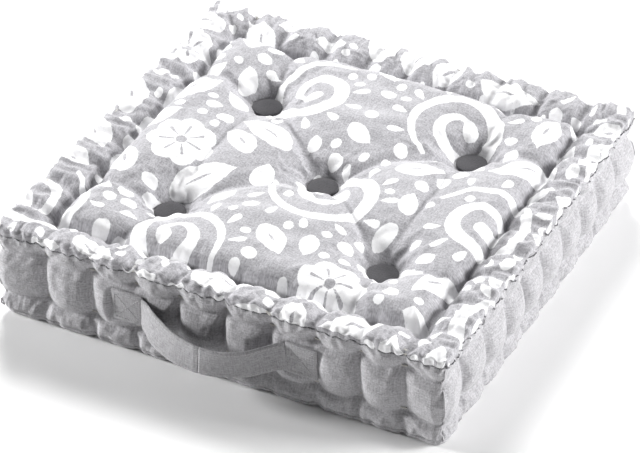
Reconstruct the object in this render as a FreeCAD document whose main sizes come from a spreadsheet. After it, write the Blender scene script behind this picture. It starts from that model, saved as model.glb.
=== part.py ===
"""Square box floor cushion: printed top, plain gathered sides, five tufts and a carrying strap.

The cushion stands on its underside. +X runs along the side that carries the strap, the strap
stands out towards -Y and +Z is up. The origin is the middle of the box round the whole cushion,
strap included, at the level of the surface it rests on. All sizes are in millimetres.

The stuffed form is three tiers stacked on a narrower core. The rolled top edge is the upper
tier, the tall row of pads is the middle one and the bottom roll is the lower one. The same form,
drawn once at the outside of the cloth and once at its inside, gives the cover and the filling.
"""
import FreeCAD, Part

import math
import os

doc = FreeCAD.newDocument("FloorCushion")
sheet = doc.addObject("Spreadsheet::Sheet", "Sizes")

SIZES = {
    # the stuffed form
    "cushion_length": 450.0,
    "cushion_width": 430.0,
    "cushion_height": 106.0,
    "corner_radius": 24.0,
    "cloth_thickness": 1.0,
    # the three tiers and the two stitched notches between them
    "upper_stitch_depth": 29.0,
    "lower_stitch_height": 29.0,
    "notch_gap": 2.4,
    "notch_depth": 14.0,
    "middle_inset": 7.0,
    "lower_inset": 4.0,
    "roll_edge_radius": 13.0,
    "middle_edge_radius": 7.0,
    "lower_edge_radius": 10.0,
    # the rolled edge, the groove inside it and the tufted field
    "roll_width": 40.0,
    "groove_width": 9.0,
    "groove_depth": 18.0,
    "field_depth": 3.0,
    "field_edge_radius": 10.0,
    "inner_corner_radius": 12.0,
    # seams
    "top_seam_depth": 13.7,
    "bottom_seam_height": 14.0,
    "seam_thread_width": 1.0,
    "seam_thread_depth": 0.6,
    "corner_thread_radius": 0.6,
    "seat_clearance": 0.15,
    # tufts
    "tuft_spacing_x": 214.0,
    "tuft_spacing_y": 190.0,
    "button_radius": 15.0,
    "button_thickness": 4.0,
    "button_edge_radius": 1.5,
    "button_margin": 1.0,
    "top_seat_depth": 34.0,
    "bottom_seat_height": 13.0,
    "top_dimple_radius": 46.0,
    "bottom_dimple_radius": 34.0,
    "twine_radius": 1.0,
    "twine_clearance": 0.3,
    # side stitches
    "stitch_pitch_x": 44.0,
    "stitch_pitch_y": 42.0,
    "stitch_length": 7.0,
    "stitch_thickness": 1.4,
    # carrying strap
    "strap_width": 30.0,
    "strap_thickness": 2.0,
    "strap_reach": 30.0,
    "strap_sag": 10.0,
    "swing_axis_rise": 3.5,
    "patch_spacing": 172.0,
    "patch_length": 30.0,
    "patch_thickness": 2.4,
    "strap_landing": 4.0,
    "twist_length": 28.0,
    "patch_stitch_margin": 3.0,
    "patch_stitch_width": 0.8,
    "patch_stitch_height": 0.4,
}
for row, (alias, value) in enumerate(SIZES.items(), start=1):
    sheet.set(f"A{row}", alias)
    sheet.set(f"B{row}", str(value))
    sheet.setAlias(f"B{row}", alias)
doc.recompute()

STITCHES_PER_ROW = 9
CORNERS = {"front_left": (-1, -1), "front_right": (1, -1), "back_right": (1, 1), "back_left": (-1, 1)}
TUFTS = {"centre": (0, 0), **CORNERS}
SIDES = {"front": 0, "right": 90, "back": 180, "left": 270}
TOLERANCE = 1e-4
UPWARD, ACROSS, ALONG = FreeCAD.Vector(0, 0, 1), FreeCAD.Vector(1, 0, 0), FreeCAD.Vector(0, 1, 0)
OVERSHOOT = 10
BELOW = f"-{OVERSHOOT}"
THROUGH = f"(Sizes.cushion_height + 2 * {OVERSHOOT})"
UPPER_STITCH_HEIGHT = "(Sizes.cushion_height - Sizes.upper_stitch_depth)"
GROOVE_FLOOR_HEIGHT = "(Sizes.cushion_height - Sizes.groove_depth)"
FIELD_HEIGHT = "(Sizes.cushion_height - Sizes.field_depth)"
TOP_SEAM_HEIGHT = "(Sizes.cushion_height - Sizes.top_seam_depth)"
SEAT_HEIGHTS = {"top": "(Sizes.cushion_height - Sizes.top_seat_depth)", "bottom": "Sizes.bottom_seat_height"}
STITCH_HEIGHTS = {"upper": UPPER_STITCH_HEIGHT, "lower": "Sizes.lower_stitch_height"}
STRAP_HEIGHT = f"(({UPPER_STITCH_HEIGHT} + Sizes.lower_stitch_height) / 2)"
HALF_LENGTH = "Sizes.cushion_length / 2"
HALF_WIDTH = "Sizes.cushion_width / 2"
PATCH_FACE = "(Sizes.cushion_width / 2 - Sizes.middle_inset + Sizes.patch_thickness)"
FRONT_OVERHANG = f"({PATCH_FACE} + Sizes.strap_reach - {HALF_WIDTH})"
CORE_HALF_LENGTH = "(Sizes.cushion_length / 2 - Sizes.notch_depth)"
CORE_HALF_WIDTH = "(Sizes.cushion_width / 2 - Sizes.notch_depth)"


def turned_about(axis, angle):
    return FreeCAD.Placement(FreeCAD.Vector(), FreeCAD.Rotation(axis, angle))


def bow_radius(half_chord, rise):
    """Radius, as an expression, of an arc with this half chord and rise."""
    return f"(({half_chord} * {half_chord} + {rise} * {rise}) / (2 * {rise}))"


def bind(obj, **expressions):
    """Tie properties to cells; a double underscore in a name stands for the dot of a path."""
    for name, expression in expressions.items():
        obj.setExpression(name.replace("__", "."), expression)
    return obj


def place(obj, x="0", y="0", z="0"):
    return bind(obj, Placement__Base__x=x, Placement__Base__y=y, Placement__Base__z=z)


def box(name, x, y, z, length, width, height):
    """A box that starts at x, y, z."""
    solid = doc.addObject("Part::Box", name)
    return place(bind(solid, Length=length, Width=width, Height=height), x, y, z)


def cylinder(name, x, y, z, radius, height):
    solid = doc.addObject("Part::Cylinder", name)
    return place(bind(solid, Radius=radius, Height=height), x, y, z)


def cut(name, base, *tools):
    """base less each tool in turn."""
    for count, tool in enumerate(tools):
        result = doc.addObject("Part::Cut", name if count == len(tools) - 1 else f"{name}_cut_{count}")
        result.Base, result.Tool = base, tool
        base = result
    return base


def common(name, *shapes):
    result = doc.addObject("Part::MultiCommon", name)
    result.Shapes = list(shapes)
    return result


def fuse(name, *shapes):
    result = doc.addObject("Part::MultiFuse", name)
    result.Shapes = list(shapes)
    return result


def edges_where(feature, test):
    """Names of the edges whose bounding box passes the test."""
    return [f"Edge{i}" for i, edge in enumerate(feature.Shape.Edges, start=1) if test(edge.BoundBox)]


def add_fillet(body, feature, radius, test):
    """Round the edges of the body that pass the test."""
    doc.recompute()
    rounded = body.newObject("PartDesign::Fillet", f"{body.Name}_fillet")
    rounded.Base = (feature, edges_where(feature, test))
    return bind(rounded, Radius=radius)


def is_upright(bounds):
    return bounds.ZLength > TOLERANCE and bounds.XLength + bounds.YLength < TOLERANCE


def corner_place(bounds):
    return round(bounds.XMin, 3), round(bounds.YMin, 3)


def is_at_height(height):
    return lambda bounds: bounds.ZLength < TOLERANCE and abs(bounds.ZMin - height) < TOLERANCE


def slab(name, length, width, low, high, corner, upper=None, lower=None, opening=None):
    """A block centred on the Z axis with rounded corners, and rounded upper and lower edges.

    opening is the length, width and corner radius of a through hole, whose upper edge is
    rounded like the block's.
    """
    body = doc.addObject("PartDesign::Body", name)
    feature = body.newObject("PartDesign::AdditiveBox", f"{name}_block")
    bind(feature, Length=length, Width=width, Height=f"{high} - ({low})")
    place(feature, f"-({length}) / 2", f"-({width}) / 2", low)
    feature = add_fillet(body, feature, corner, is_upright)
    doc.recompute()
    bottom, top = body.Shape.BoundBox.ZMin, body.Shape.BoundBox.ZMax
    if lower:
        feature = add_fillet(body, feature, lower, is_at_height(bottom))
    if opening:
        doc.recompute()
        outer_corners = [corner_place(edge.BoundBox) for edge in feature.Shape.Edges]
        hole = body.newObject("PartDesign::SubtractiveBox", f"{name}_opening")
        bind(hole, Length=opening[0], Width=opening[1], Height=f"{high} - ({low})")
        place(hole, f"-({opening[0]}) / 2", f"-({opening[1]}) / 2", low)

        def is_inner_corner(bounds):
            return is_upright(bounds) and corner_place(bounds) not in outer_corners

        feature = add_fillet(body, hole, opening[2], is_inner_corner)
    if upper:
        feature = add_fillet(body, feature, upper, is_at_height(top))
    body.Tip = feature
    doc.recompute()
    return body


def stuffed_form(name, offset):
    """The whole stuffed form, drawn offset inside the outer surface of the cloth."""
    def across(inset):
        return f"Sizes.cushion_length - 2 * ({inset}) - 2 * {offset}"

    def along(inset):
        return f"Sizes.cushion_width - 2 * ({inset}) - 2 * {offset}"

    def corner(inset):
        return f"Sizes.corner_radius - ({inset}) - {offset}"

    half_gap = "Sizes.notch_gap / 2"
    core_inset, middle_inset, lower_inset = "Sizes.notch_depth", "Sizes.middle_inset", "Sizes.lower_inset"
    field_inset = "(Sizes.roll_width + Sizes.groove_width)"
    core = slab(
        f"{name}_core", across(core_inset), along(core_inset),
        offset, f"{GROOVE_FLOOR_HEIGHT} - {offset}", corner(core_inset),
    )
    lower = slab(
        f"{name}_lower_tier", across(lower_inset), along(lower_inset),
        offset, f"Sizes.lower_stitch_height - {half_gap} - {offset}", corner(lower_inset),
        upper=f"Sizes.lower_edge_radius - {offset}", lower=f"Sizes.lower_edge_radius - {offset}",
    )
    middle = slab(
        f"{name}_middle_tier", across(middle_inset), along(middle_inset),
        f"Sizes.lower_stitch_height + {half_gap} + {offset}",
        f"{UPPER_STITCH_HEIGHT} - {half_gap} - {offset}", corner(middle_inset),
        upper=f"Sizes.middle_edge_radius - {offset}", lower=f"Sizes.middle_edge_radius - {offset}",
    )
    roll = slab(
        f"{name}_roll", across("0"), along("0"),
        f"{UPPER_STITCH_HEIGHT} + {half_gap} + {offset}", f"Sizes.cushion_height - {offset}", corner("0"),
        upper=f"Sizes.roll_edge_radius - {offset}", lower=f"Sizes.roll_edge_radius - {offset}",
        opening=(
            f"Sizes.cushion_length - 2 * Sizes.roll_width + 2 * {offset}",
            f"Sizes.cushion_width - 2 * Sizes.roll_width + 2 * {offset}",
            f"Sizes.inner_corner_radius + {offset}",
        ),
    )
    field = slab(
        f"{name}_field", across(field_inset), along(field_inset),
        f"{GROOVE_FLOOR_HEIGHT} / 2", f"{FIELD_HEIGHT} - {offset}",
        f"Sizes.inner_corner_radius - {offset}", upper=f"Sizes.field_edge_radius - {offset}",
    )
    stack = fuse(f"{name}_stack", core, lower, middle, roll, field)
    dimples = [dimple(f"{name}_{tuft}", tuft, offset, is_top) for tuft in TUFTS for is_top in (True, False)]
    return cut(name, stack, *dimples)


def tuft_point(tuft):
    """X and Y of a tuft, as expressions."""
    across, along = TUFTS[tuft]
    return f"{across} * Sizes.tuft_spacing_x / 2", f"{along} * Sizes.tuft_spacing_y / 2"


def dimple(name, tuft, offset, is_top):
    """The conical hollow that a tuft pulls into the top or the underside."""
    x, y = tuft_point(tuft)
    seat_radius = f"Sizes.button_radius + Sizes.button_margin + {offset}"
    hollow = doc.addObject("Part::Cone", f"{name}_{'top' if is_top else 'bottom'}_dimple")
    if is_top:
        bind(hollow, Radius1=seat_radius, Radius2=f"Sizes.top_dimple_radius + {offset}")
        bind(hollow, Height=f"Sizes.top_seat_depth + {offset}")
        return place(hollow, x, y, f"{SEAT_HEIGHTS['top']} - {offset}")
    bind(hollow, Radius1=f"Sizes.bottom_dimple_radius + {offset}", Radius2=seat_radius)
    bind(hollow, Height=f"Sizes.bottom_seat_height + {offset}")
    return place(hollow, x, y, "0")


def twine_channels(name):
    """The holes that the tuft twines pass through, one at each tuft."""
    holes = []
    for tuft in TUFTS:
        x, y = tuft_point(tuft)
        radius = "Sizes.twine_radius + Sizes.twine_clearance"
        holes.append(cylinder(f"{name}_{tuft}", x, y, BELOW, radius, THROUGH))
    return fuse(name, *holes)


def layer(name, low, high):
    """A block wider than the cushion between two heights."""
    length, width = f"(Sizes.cushion_length + 2 * {OVERSHOOT})", f"(Sizes.cushion_width + 2 * {OVERSHOOT})"
    return box(name, f"-({length}) / 2", f"-({width}) / 2", low, length, width, f"{high} - ({low})")


def inner_prism(name, low, high):
    """A block inside the side walls, which parts the top and bottom panels from the sides."""
    length = "(Sizes.cushion_length - 2 * Sizes.corner_radius)"
    width = "(Sizes.cushion_width - 2 * Sizes.corner_radius)"
    return box(name, f"-({length}) / 2", f"-({width}) / 2", low, length, width, f"{high} - ({low})")


def corner_wedge(side):
    """A block over one side wall, cut at 45 degrees at the two corner seams."""
    turned = SIDES[side] % 180 == 90
    length, depth = (HALF_WIDTH, HALF_LENGTH) if turned else (HALF_LENGTH, HALF_WIDTH)
    wedge = doc.addObject("Part::Wedge", f"{side}_wedge")
    outer, inner = f"({length} + {OVERSHOOT})", f"({length} - Sizes.roll_width)"
    bind(wedge, Xmin=f"-{outer}", Xmax=outer, X2min=f"-{inner}", X2max=inner)
    bind(wedge, Ymin=f"-({depth} + {OVERSHOOT})", Ymax=f"-({depth} - Sizes.roll_width)")
    bind(wedge, Zmin=BELOW, Zmax=THROUGH, Z2min=BELOW, Z2max=THROUGH)
    wedge.Placement = turned_about(UPWARD, SIDES[side])
    return wedge


def seam_thread(name, height, inset):
    """A thread that runs round a tier, flush with the cloth, where two panels join."""
    low, high = f"{height} - Sizes.seam_thread_width / 2", f"{height} + Sizes.seam_thread_width / 2"

    def ring_part(suffix, depth):
        return slab(
            f"{name}_{suffix}", f"Sizes.cushion_length - 2 * ({inset} + {depth})",
            f"Sizes.cushion_width - 2 * ({inset} + {depth})",
            low, high, f"Sizes.corner_radius - ({inset}) - {depth}",
        )

    return cut(name, ring_part("outside", "0"), ring_part("inside", "Sizes.seam_thread_depth"))


def make_cover_and_filling():
    """Cut the cloth between the two forms at its seams, and keep the inner form as filling."""
    outside = stuffed_form("outer_form", "0")
    inside = stuffed_form("inner_form", "Sizes.cloth_thickness")
    channels = twine_channels("twine_channels")
    top_thread = seam_thread("top_seam_thread", TOP_SEAM_HEIGHT, "0")
    bottom_thread = seam_thread("bottom_seam_thread", "Sizes.bottom_seam_height", "Sizes.lower_inset")
    cover = cut("cover", outside, inside, channels, top_thread, bottom_thread)
    middle_height = "Sizes.cushion_height / 2"
    top_mask = fuse(
        "top_mask", layer("above_top_seam", TOP_SEAM_HEIGHT, THROUGH),
        inner_prism("inside_the_top", middle_height, THROUGH),
    )
    bottom_mask = fuse(
        "bottom_mask", layer("below_bottom_seam", BELOW, "Sizes.bottom_seam_height"),
        inner_prism("inside_the_bottom", BELOW, middle_height),
    )
    side_height = common(
        "side_height", cover, layer("between_seams", "Sizes.bottom_seam_height", TOP_SEAM_HEIGHT),
    )
    side_skin = cut("side_skin", side_height, inner_prism("inside_the_sides", BELOW, THROUGH))
    pieces = {
        "top_panel": common("top_panel", cover, top_mask),
        "bottom_panel": common("bottom_panel", cover, bottom_mask),
        "filling": cut("filling", inside, channels),
        "top_seam_thread": top_thread,
        "bottom_seam_thread": bottom_thread,
    }
    for side in SIDES:
        pieces[f"side_panel_{side}"] = common(f"side_panel_{side}", side_skin, corner_wedge(side))
    return pieces


def make_button(name, x, y, seat, faces_up):
    """A covered button: a disc whose outer rim is rounded."""
    body = doc.addObject("PartDesign::Body", name)
    disc = body.newObject("PartDesign::AdditiveCylinder", f"{name}_disc")
    bind(disc, Radius="Sizes.button_radius", Height="Sizes.button_thickness")
    place(disc, x, y, seat if faces_up else f"{seat} - Sizes.button_thickness")
    doc.recompute()
    rim = disc.Shape.BoundBox.ZMax if faces_up else disc.Shape.BoundBox.ZMin
    body.Tip = add_fillet(body, disc, "Sizes.button_edge_radius", is_at_height(rim))
    return body


def make_tufts():
    """At each tuft a button on the top, a button underneath and the twine that joins them."""
    pieces = {}
    for tuft in TUFTS:
        x, y = tuft_point(tuft)
        for level, faces_up in (("top", True), ("bottom", False)):
            name = f"tuft_button_{level}_{tuft}"
            pieces[name] = make_button(name, x, y, SEAT_HEIGHTS[level], faces_up)
        name = f"tuft_twine_{tuft}"
        length = f"{SEAT_HEIGHTS['top']} - {SEAT_HEIGHTS['bottom']}"
        pieces[name] = cylinder(name, x, y, SEAT_HEIGHTS["bottom"], "Sizes.twine_radius", length)
    return pieces


def make_corner_threads():
    """The upright seam at each corner, seen on the pads and on the bottom roll."""
    half_gap = "Sizes.notch_gap / 2"
    middle_low = f"(Sizes.lower_stitch_height + {half_gap} + Sizes.middle_edge_radius)"
    middle_high = f"({UPPER_STITCH_HEIGHT} - {half_gap} - Sizes.middle_edge_radius)"
    lower_low = "(Sizes.bottom_seam_height + Sizes.seam_thread_width)"
    lower_high = f"(Sizes.lower_stitch_height - {half_gap} - Sizes.lower_edge_radius)"
    runs = {
        "pad": ("Sizes.middle_inset", middle_low, middle_high),
        "base": ("Sizes.lower_inset", lower_low, lower_high),
    }
    pieces = {}
    for corner, (across, along) in CORNERS.items():
        name = f"corner_seam_thread_{corner}"
        threads = []
        for run, (inset, low, high) in runs.items():
            reach = (
                f"({math.sqrt(0.5)} * (Sizes.corner_radius - {inset} + Sizes.corner_thread_radius"
                f" + Sizes.seat_clearance) - Sizes.corner_radius)"
            )
            x, y = f"{across} * ({HALF_LENGTH} + {reach})", f"{along} * ({HALF_WIDTH} + {reach})"
            length = f"{high} - {low}"
            threads.append(cylinder(f"{name}_{run}", x, y, low, "Sizes.corner_thread_radius", length))
        pieces[name] = fuse(name, *threads)
    return pieces


def make_side_stitches():
    """Short stitches that pull the sides in, in an upper and a lower row on each side."""
    pieces = {}
    for level in ("upper", "lower"):
        for side, angle in SIDES.items():
            turned = angle % 180 == 90
            wall = CORE_HALF_LENGTH if turned else CORE_HALF_WIDTH
            pitch = "Sizes.stitch_pitch_y" if turned else "Sizes.stitch_pitch_x"
            name = f"side_stitches_{level}_{side}"
            outward = -1 if side in ("front", "left") else 1
            depth = f"{wall}" if outward > 0 else f"-{wall} - Sizes.stitch_thickness"
            stitches = []
            for number in range(STITCHES_PER_ROW):
                step = number - (STITCHES_PER_ROW - 1) / 2
                start = f"{step} * {pitch} - Sizes.stitch_length / 2"
                low = f"{STITCH_HEIGHTS[level]} - Sizes.stitch_thickness / 2"
                place_and_size = (start, depth, low, "Sizes.stitch_length", "Sizes.stitch_thickness")
                if turned:
                    place_and_size = (depth, start, low, "Sizes.stitch_thickness", "Sizes.stitch_length")
                stitches.append(box(f"{name}_{number}", *place_and_size, "Sizes.stitch_thickness"))
            pieces[name] = fuse(name, *stitches)
    return pieces


def make_strap_span():
    """The free span of the strap: bowed out in plan and sagging in front view."""
    half_chord = "(Sizes.patch_spacing / 2 - Sizes.patch_length / 2 + Sizes.strap_landing)"
    outer = bow_radius(half_chord, "Sizes.strap_reach")
    bow_centre = f"-({PATCH_FACE} + Sizes.strap_reach) + {outer}"
    plan = cut(
        "strap_plan",
        cylinder("strap_outer_bow", "0", bow_centre, BELOW, outer, THROUGH),
        cylinder("strap_inner_bow", "0", bow_centre, BELOW, f"{outer} - Sizes.strap_thickness", THROUGH),
    )
    sag_radius = bow_radius(half_chord, "Sizes.strap_sag")

    def front_disc(name, edge):
        """A disc seen from the front, whose lowest point is on one edge of the sagging strap."""
        disc = doc.addObject("Part::Cylinder", name)
        disc.Placement = turned_about(ACROSS, 90)
        bind(disc, Radius=sag_radius, Height=HALF_WIDTH)
        height = f"{STRAP_HEIGHT} - Sizes.strap_sag + ({edge}) + {sag_radius}"
        return place(disc, "0", f"-{PATCH_FACE}", height)

    lower_disc = front_disc("strap_lower_edge", "-Sizes.strap_width / 2")
    upper_disc = front_disc("strap_upper_edge", "Sizes.strap_width / 2")
    window = box(
        "strap_window", f"-{half_chord}", f"-{PATCH_FACE} - 2 * Sizes.strap_reach",
        f"{STRAP_HEIGHT} - Sizes.strap_sag - Sizes.strap_width", f"2 * {half_chord}",
        "2 * Sizes.strap_reach", "2 * Sizes.strap_width + Sizes.strap_sag",
    )
    return cut("strap_span", common("strap_front", plan, lower_disc, window), upper_disc)


def make_handle():
    """The strap's free middle, its two twisting lengths, its sewn ends and their stitching."""
    span = make_strap_span()
    inner_edge = "(Sizes.patch_spacing / 2 - Sizes.patch_length / 2)"
    middle_half = f"({inner_edge} - Sizes.twist_length)"
    side_length = "(Sizes.twist_length + Sizes.patch_length)"

    def zone_box(name, start, length):
        """A block in front of the sewn ends, which takes one length of the strap."""
        front = f"-{PATCH_FACE} - Sizes.cushion_width"
        return box(name, start, front, BELOW, length, "Sizes.cushion_width", THROUGH)

    middle = zone_box("strap_middle_zone", f"-{middle_half}", f"2 * {middle_half}")
    zones = {
        "left": zone_box("strap_left_zone", f"-{middle_half} - {side_length}", side_length),
        "right": zone_box("strap_right_zone", middle_half, side_length),
    }
    pieces = {"handle_strap": common("handle_strap", span, middle)}
    for name, zone in zones.items():
        outward = -1 if name == "left" else 1
        centre = f"{outward} * Sizes.patch_spacing / 2"
        pieces[f"handle_twist_{name}"] = common(f"handle_twist_{name}", span, zone)
        pieces[f"handle_end_{name}"] = box(
            f"handle_end_{name}", f"{centre} - Sizes.patch_length / 2", f"-{PATCH_FACE}",
            f"{STRAP_HEIGHT} - Sizes.strap_width / 2", "Sizes.patch_length",
            "Sizes.patch_thickness", "Sizes.strap_width",
        )
        pieces[f"handle_stitch_{name}"] = make_cross_stitch(f"handle_stitch_{name}", centre, outward)
    return pieces


def make_cross_stitch(name, centre, outward):
    """The square of stitching with a cross in it that holds a sewn end of the strap."""
    middle = f"{centre} + {outward} * Sizes.strap_landing / 2"
    length = "(Sizes.patch_length - Sizes.strap_landing - 2 * Sizes.patch_stitch_margin)"
    height = "(Sizes.strap_width - 2 * Sizes.patch_stitch_margin)"
    line, face = "Sizes.patch_stitch_width", f"-{PATCH_FACE} - Sizes.patch_stitch_height"
    rim = cut(
        f"{name}_rim",
        box(f"{name}_square", f"{middle} - {length} / 2", face, f"{STRAP_HEIGHT} - {height} / 2",
            length, "Sizes.patch_stitch_height", height),
        box(f"{name}_square_inside", f"{middle} - {length} / 2 + {line}", face,
            f"{STRAP_HEIGHT} - {height} / 2 + {line}", f"{length} - 2 * {line}",
            "Sizes.patch_stitch_height", f"{height} - 2 * {line}"),
    )
    bars = []
    for number, lean in enumerate((-1, 1)):
        bar = doc.addObject("Part::Box", f"{name}_bar_{number}")
        diagonal = f"sqrt({length} * {length} + {height} * {height})"
        bind(bar, Length=f"{diagonal} - 2 * {line}", Width="Sizes.patch_stitch_height", Height=line)
        lean_angle = f"{lean} * atan({height} / {length})"
        bar.Placement = turned_about(ALONG, 1)
        half, slim = f"({diagonal} / 2 - {line})", f"({line} / 2)"
        bind(bar, Placement__Rotation__Angle=lean_angle)
        place(
            bar, f"{middle} - {half} * cos({lean_angle}) - {slim} * sin({lean_angle})", face,
            f"{STRAP_HEIGHT} + {half} * sin({lean_angle}) - {slim} * cos({lean_angle})",
        )
        bars.append(bar)
    return fuse(name, rim, *bars)


def check_document():
    """Stop if any object of the document failed to recompute."""
    for obj in doc.Objects:
        if {"Invalid", "Error"} & set(obj.State):
            raise RuntimeError(f"{obj.Name} did not recompute: {obj.State}")


def write_pieces(pieces):
    """Move each piece to the common origin, check it and write it to its own file."""
    outputs = {}
    for name, piece in pieces.items():
        output = doc.addObject("Part::Compound", f"{name}_placed")
        output.Links = [piece]
        output.Label = name
        place(output, y=f"{FRONT_OVERHANG} / 2")
        outputs[name] = output
    doc.recompute()
    check_document()
    for name, output in outputs.items():
        if output.Shape.isNull() or not output.Shape.isValid() or not output.Shape.Solids:
            raise RuntimeError(f"{name} has no valid solid")
    os.makedirs("parts", exist_ok=True)
    for name, output in outputs.items():
        output.Shape.exportStep(f"parts/{name}.step")
        print(f"{name}: {len(output.Shape.Solids)} solids, {output.Shape.Volume:.1f} mm3")


def print_swing_axis():
    """Print the line that the strap swings on, in the placed frame."""
    patch_face = SIZES["cushion_width"] / 2 - SIZES["middle_inset"] + SIZES["patch_thickness"]
    shift = (patch_face + SIZES["strap_reach"] - SIZES["cushion_width"] / 2) / 2
    axis_y = shift - patch_face - SIZES["strap_thickness"] / 2
    stitches = SIZES["cushion_height"] - SIZES["upper_stitch_depth"] + SIZES["lower_stitch_height"]
    axis_z = stitches / 2 + SIZES["swing_axis_rise"]
    print(f"strap swings about the line y = {axis_y:.2f}, z = {axis_z:.2f}, along X")


def main():
    pieces = make_cover_and_filling()
    for make in (make_tufts, make_corner_threads, make_side_stitches, make_handle):
        pieces.update(make())
    write_pieces(pieces)
    print_swing_axis()


main()
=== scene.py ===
"""A square floor cushion in printed and plain cotton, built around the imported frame.

The cover is one lattice of cells whose form is written in code: the gathered roll round the top, the
pads down the sides, the puffs along the lower edge and the valleys to the buttons all come from its
start shape. A short cloth simulation with pressure then moves it, by little more than a millimetre on
average. The panels are taken from the moved lattice, and the stitching, buttons and strap are laid on
them.
"""

import logging
import math
from dataclasses import dataclass, field
from enum import Enum
from typing import Sequence

import bpy
import numpy as np
from mathutils import Matrix, Vector

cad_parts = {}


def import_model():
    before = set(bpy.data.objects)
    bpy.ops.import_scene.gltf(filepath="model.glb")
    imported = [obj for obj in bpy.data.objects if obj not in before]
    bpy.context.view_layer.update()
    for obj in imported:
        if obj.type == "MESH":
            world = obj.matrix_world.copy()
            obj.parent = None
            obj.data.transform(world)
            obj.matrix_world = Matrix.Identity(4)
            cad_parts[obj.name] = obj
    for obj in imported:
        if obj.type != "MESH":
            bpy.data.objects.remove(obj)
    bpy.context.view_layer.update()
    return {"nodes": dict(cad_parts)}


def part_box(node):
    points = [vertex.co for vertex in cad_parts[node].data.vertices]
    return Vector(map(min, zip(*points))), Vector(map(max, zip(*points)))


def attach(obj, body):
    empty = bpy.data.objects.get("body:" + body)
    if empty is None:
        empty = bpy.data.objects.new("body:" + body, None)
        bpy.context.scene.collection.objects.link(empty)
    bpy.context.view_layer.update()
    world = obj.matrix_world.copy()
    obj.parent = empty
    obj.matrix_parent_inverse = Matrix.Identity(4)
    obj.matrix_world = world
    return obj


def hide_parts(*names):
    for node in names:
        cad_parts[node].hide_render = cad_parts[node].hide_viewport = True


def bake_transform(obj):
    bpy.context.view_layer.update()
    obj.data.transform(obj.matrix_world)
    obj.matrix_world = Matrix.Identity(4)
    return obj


LOG = logging.getLogger("floor_cushion")
MM = 0.001
PATCH_MIDDLES = (-0.086, 0.086)
PATCH_HEIGHT = 0.053
TUFTS = ("centre", "front_left", "front_right", "back_right", "back_left")


class Side(Enum):
    """The six faces of the box that the cover is cut from."""

    TOP = 0
    BOTTOM = 1
    FRONT = 2
    RIGHT = 3
    BACK = 4
    LEFT = 5


# how far each stitch strays from an even spacing, in millimetres
STITCH_DRIFT = {
    Side.FRONT: (4, 8, 8, 7, 8, 9, 8, 6, 3),
    Side.RIGHT: (-2, 1, 3, 0, -1, 2, 3, -1, 1),
    Side.BACK: (2, -2, 1, 3, -1, -3, 0, 2, 1),
    Side.LEFT: (1, -1, 2, 2, -2, 0, -3, 1, -1),
}

@dataclass
class Form:
    """Driving sizes of the stuffed cushion, in metres, about its own middle."""

    half_length: float
    half_width: float
    height: float
    centre_y: float
    tufts: list[tuple[float, float]]
    tuft_radius: float
    tuft_seat: float
    under_seat: float
    upper_stitch: float
    lower_stitch: float
    corner_radius: float = 17 * MM
    roll_width: float = 43 * MM
    groove_floor: float = 78 * MM
    field_crown: float = 107 * MM
    top_seam: float = 90 * MM
    bottom_seam: float = 7 * MM

    @classmethod
    def from_frame(cls) -> "Form":
        """Read the sizes from the frame's nodes.

        Returns:
            The form whose box is that of the top panel.
        """
        low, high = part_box("top_panel")
        tufts = []
        for name in TUFTS:
            button_low, button_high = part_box(f"tuft_button_top_{name}")
            tufts.append(((button_low[0] + button_high[0]) / 2, (button_low[1] + button_high[1]) / 2))
        centre_y = (low[1] + high[1]) / 2
        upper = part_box("side_stitches_upper_front")
        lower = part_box("side_stitches_lower_front")
        return cls(
            half_length=(high[0] - low[0]) / 2,
            half_width=(high[1] - low[1]) / 2,
            height=high[2],
            centre_y=centre_y,
            tufts=[(x, y - centre_y) for x, y in tufts],
            tuft_radius=(button_high[0] - button_low[0]) / 2,
            tuft_seat=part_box("tuft_button_top_centre")[0][2],
            under_seat=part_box("tuft_button_bottom_centre")[1][2],
            upper_stitch=(upper[0][2] + upper[1][2]) / 2,
            lower_stitch=(lower[0][2] + lower[1][2]) / 2,
        )

    def stitch_places(self, side: Side) -> np.ndarray:
        """Places of the nine stitches along one side, a little uneven as hand work is.

        Args:
            side: The side that they are sewn into.

        Returns:
            Distances from the middle of that side, in metres.
        """
        half = self.half_length if side in (Side.FRONT, Side.BACK) else self.half_width
        drift = np.array(STITCH_DRIFT[side]) * MM
        count = len(drift)
        pitch = (2 * half - 96 * MM) / (count - 1)
        return (np.arange(count) - (count - 1) / 2) * pitch + drift


def smooth(values: np.ndarray) -> np.ndarray:
    """Ease a 0 to 1 ramp at both ends."""
    clipped = np.clip(values, 0.0, 1.0)
    return clipped * clipped * (3 - 2 * clipped)


def arch(values: np.ndarray) -> np.ndarray:
    """Round a 0 to 1 ramp like a quarter circle, steep at 0 and level at 1."""
    return np.sqrt(np.clip(1 - (1 - np.clip(values, 0.0, 1.0)) ** 2, 0.0, 1.0))


def bell(distance: np.ndarray, width: float) -> np.ndarray:
    """Fall from 1 at no distance to nearly 0 at twice the width."""
    return np.exp(-(distance / width) ** 2)


@dataclass
class Gathers:
    """Small folds of uneven spacing along a gathered seam."""

    seed: int
    spacing: float = 9.5 * MM
    waves: int = 5

    def along(self, place: np.ndarray) -> np.ndarray:
        """Height of the folds, about -1 to 1, at places along the seam.

        Args:
            place: Distance along the seam, in metres.

        Returns:
            The fold height at each place.
        """
        draw = np.random.default_rng(self.seed)
        total = np.zeros_like(place)
        for _ in range(self.waves):
            length = self.spacing * draw.uniform(0.75, 1.7)
            total += np.sin(2 * np.pi * (place / length + draw.uniform())) * draw.uniform(0.5, 1.0)
        return total / (0.5 * self.waves)


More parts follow.
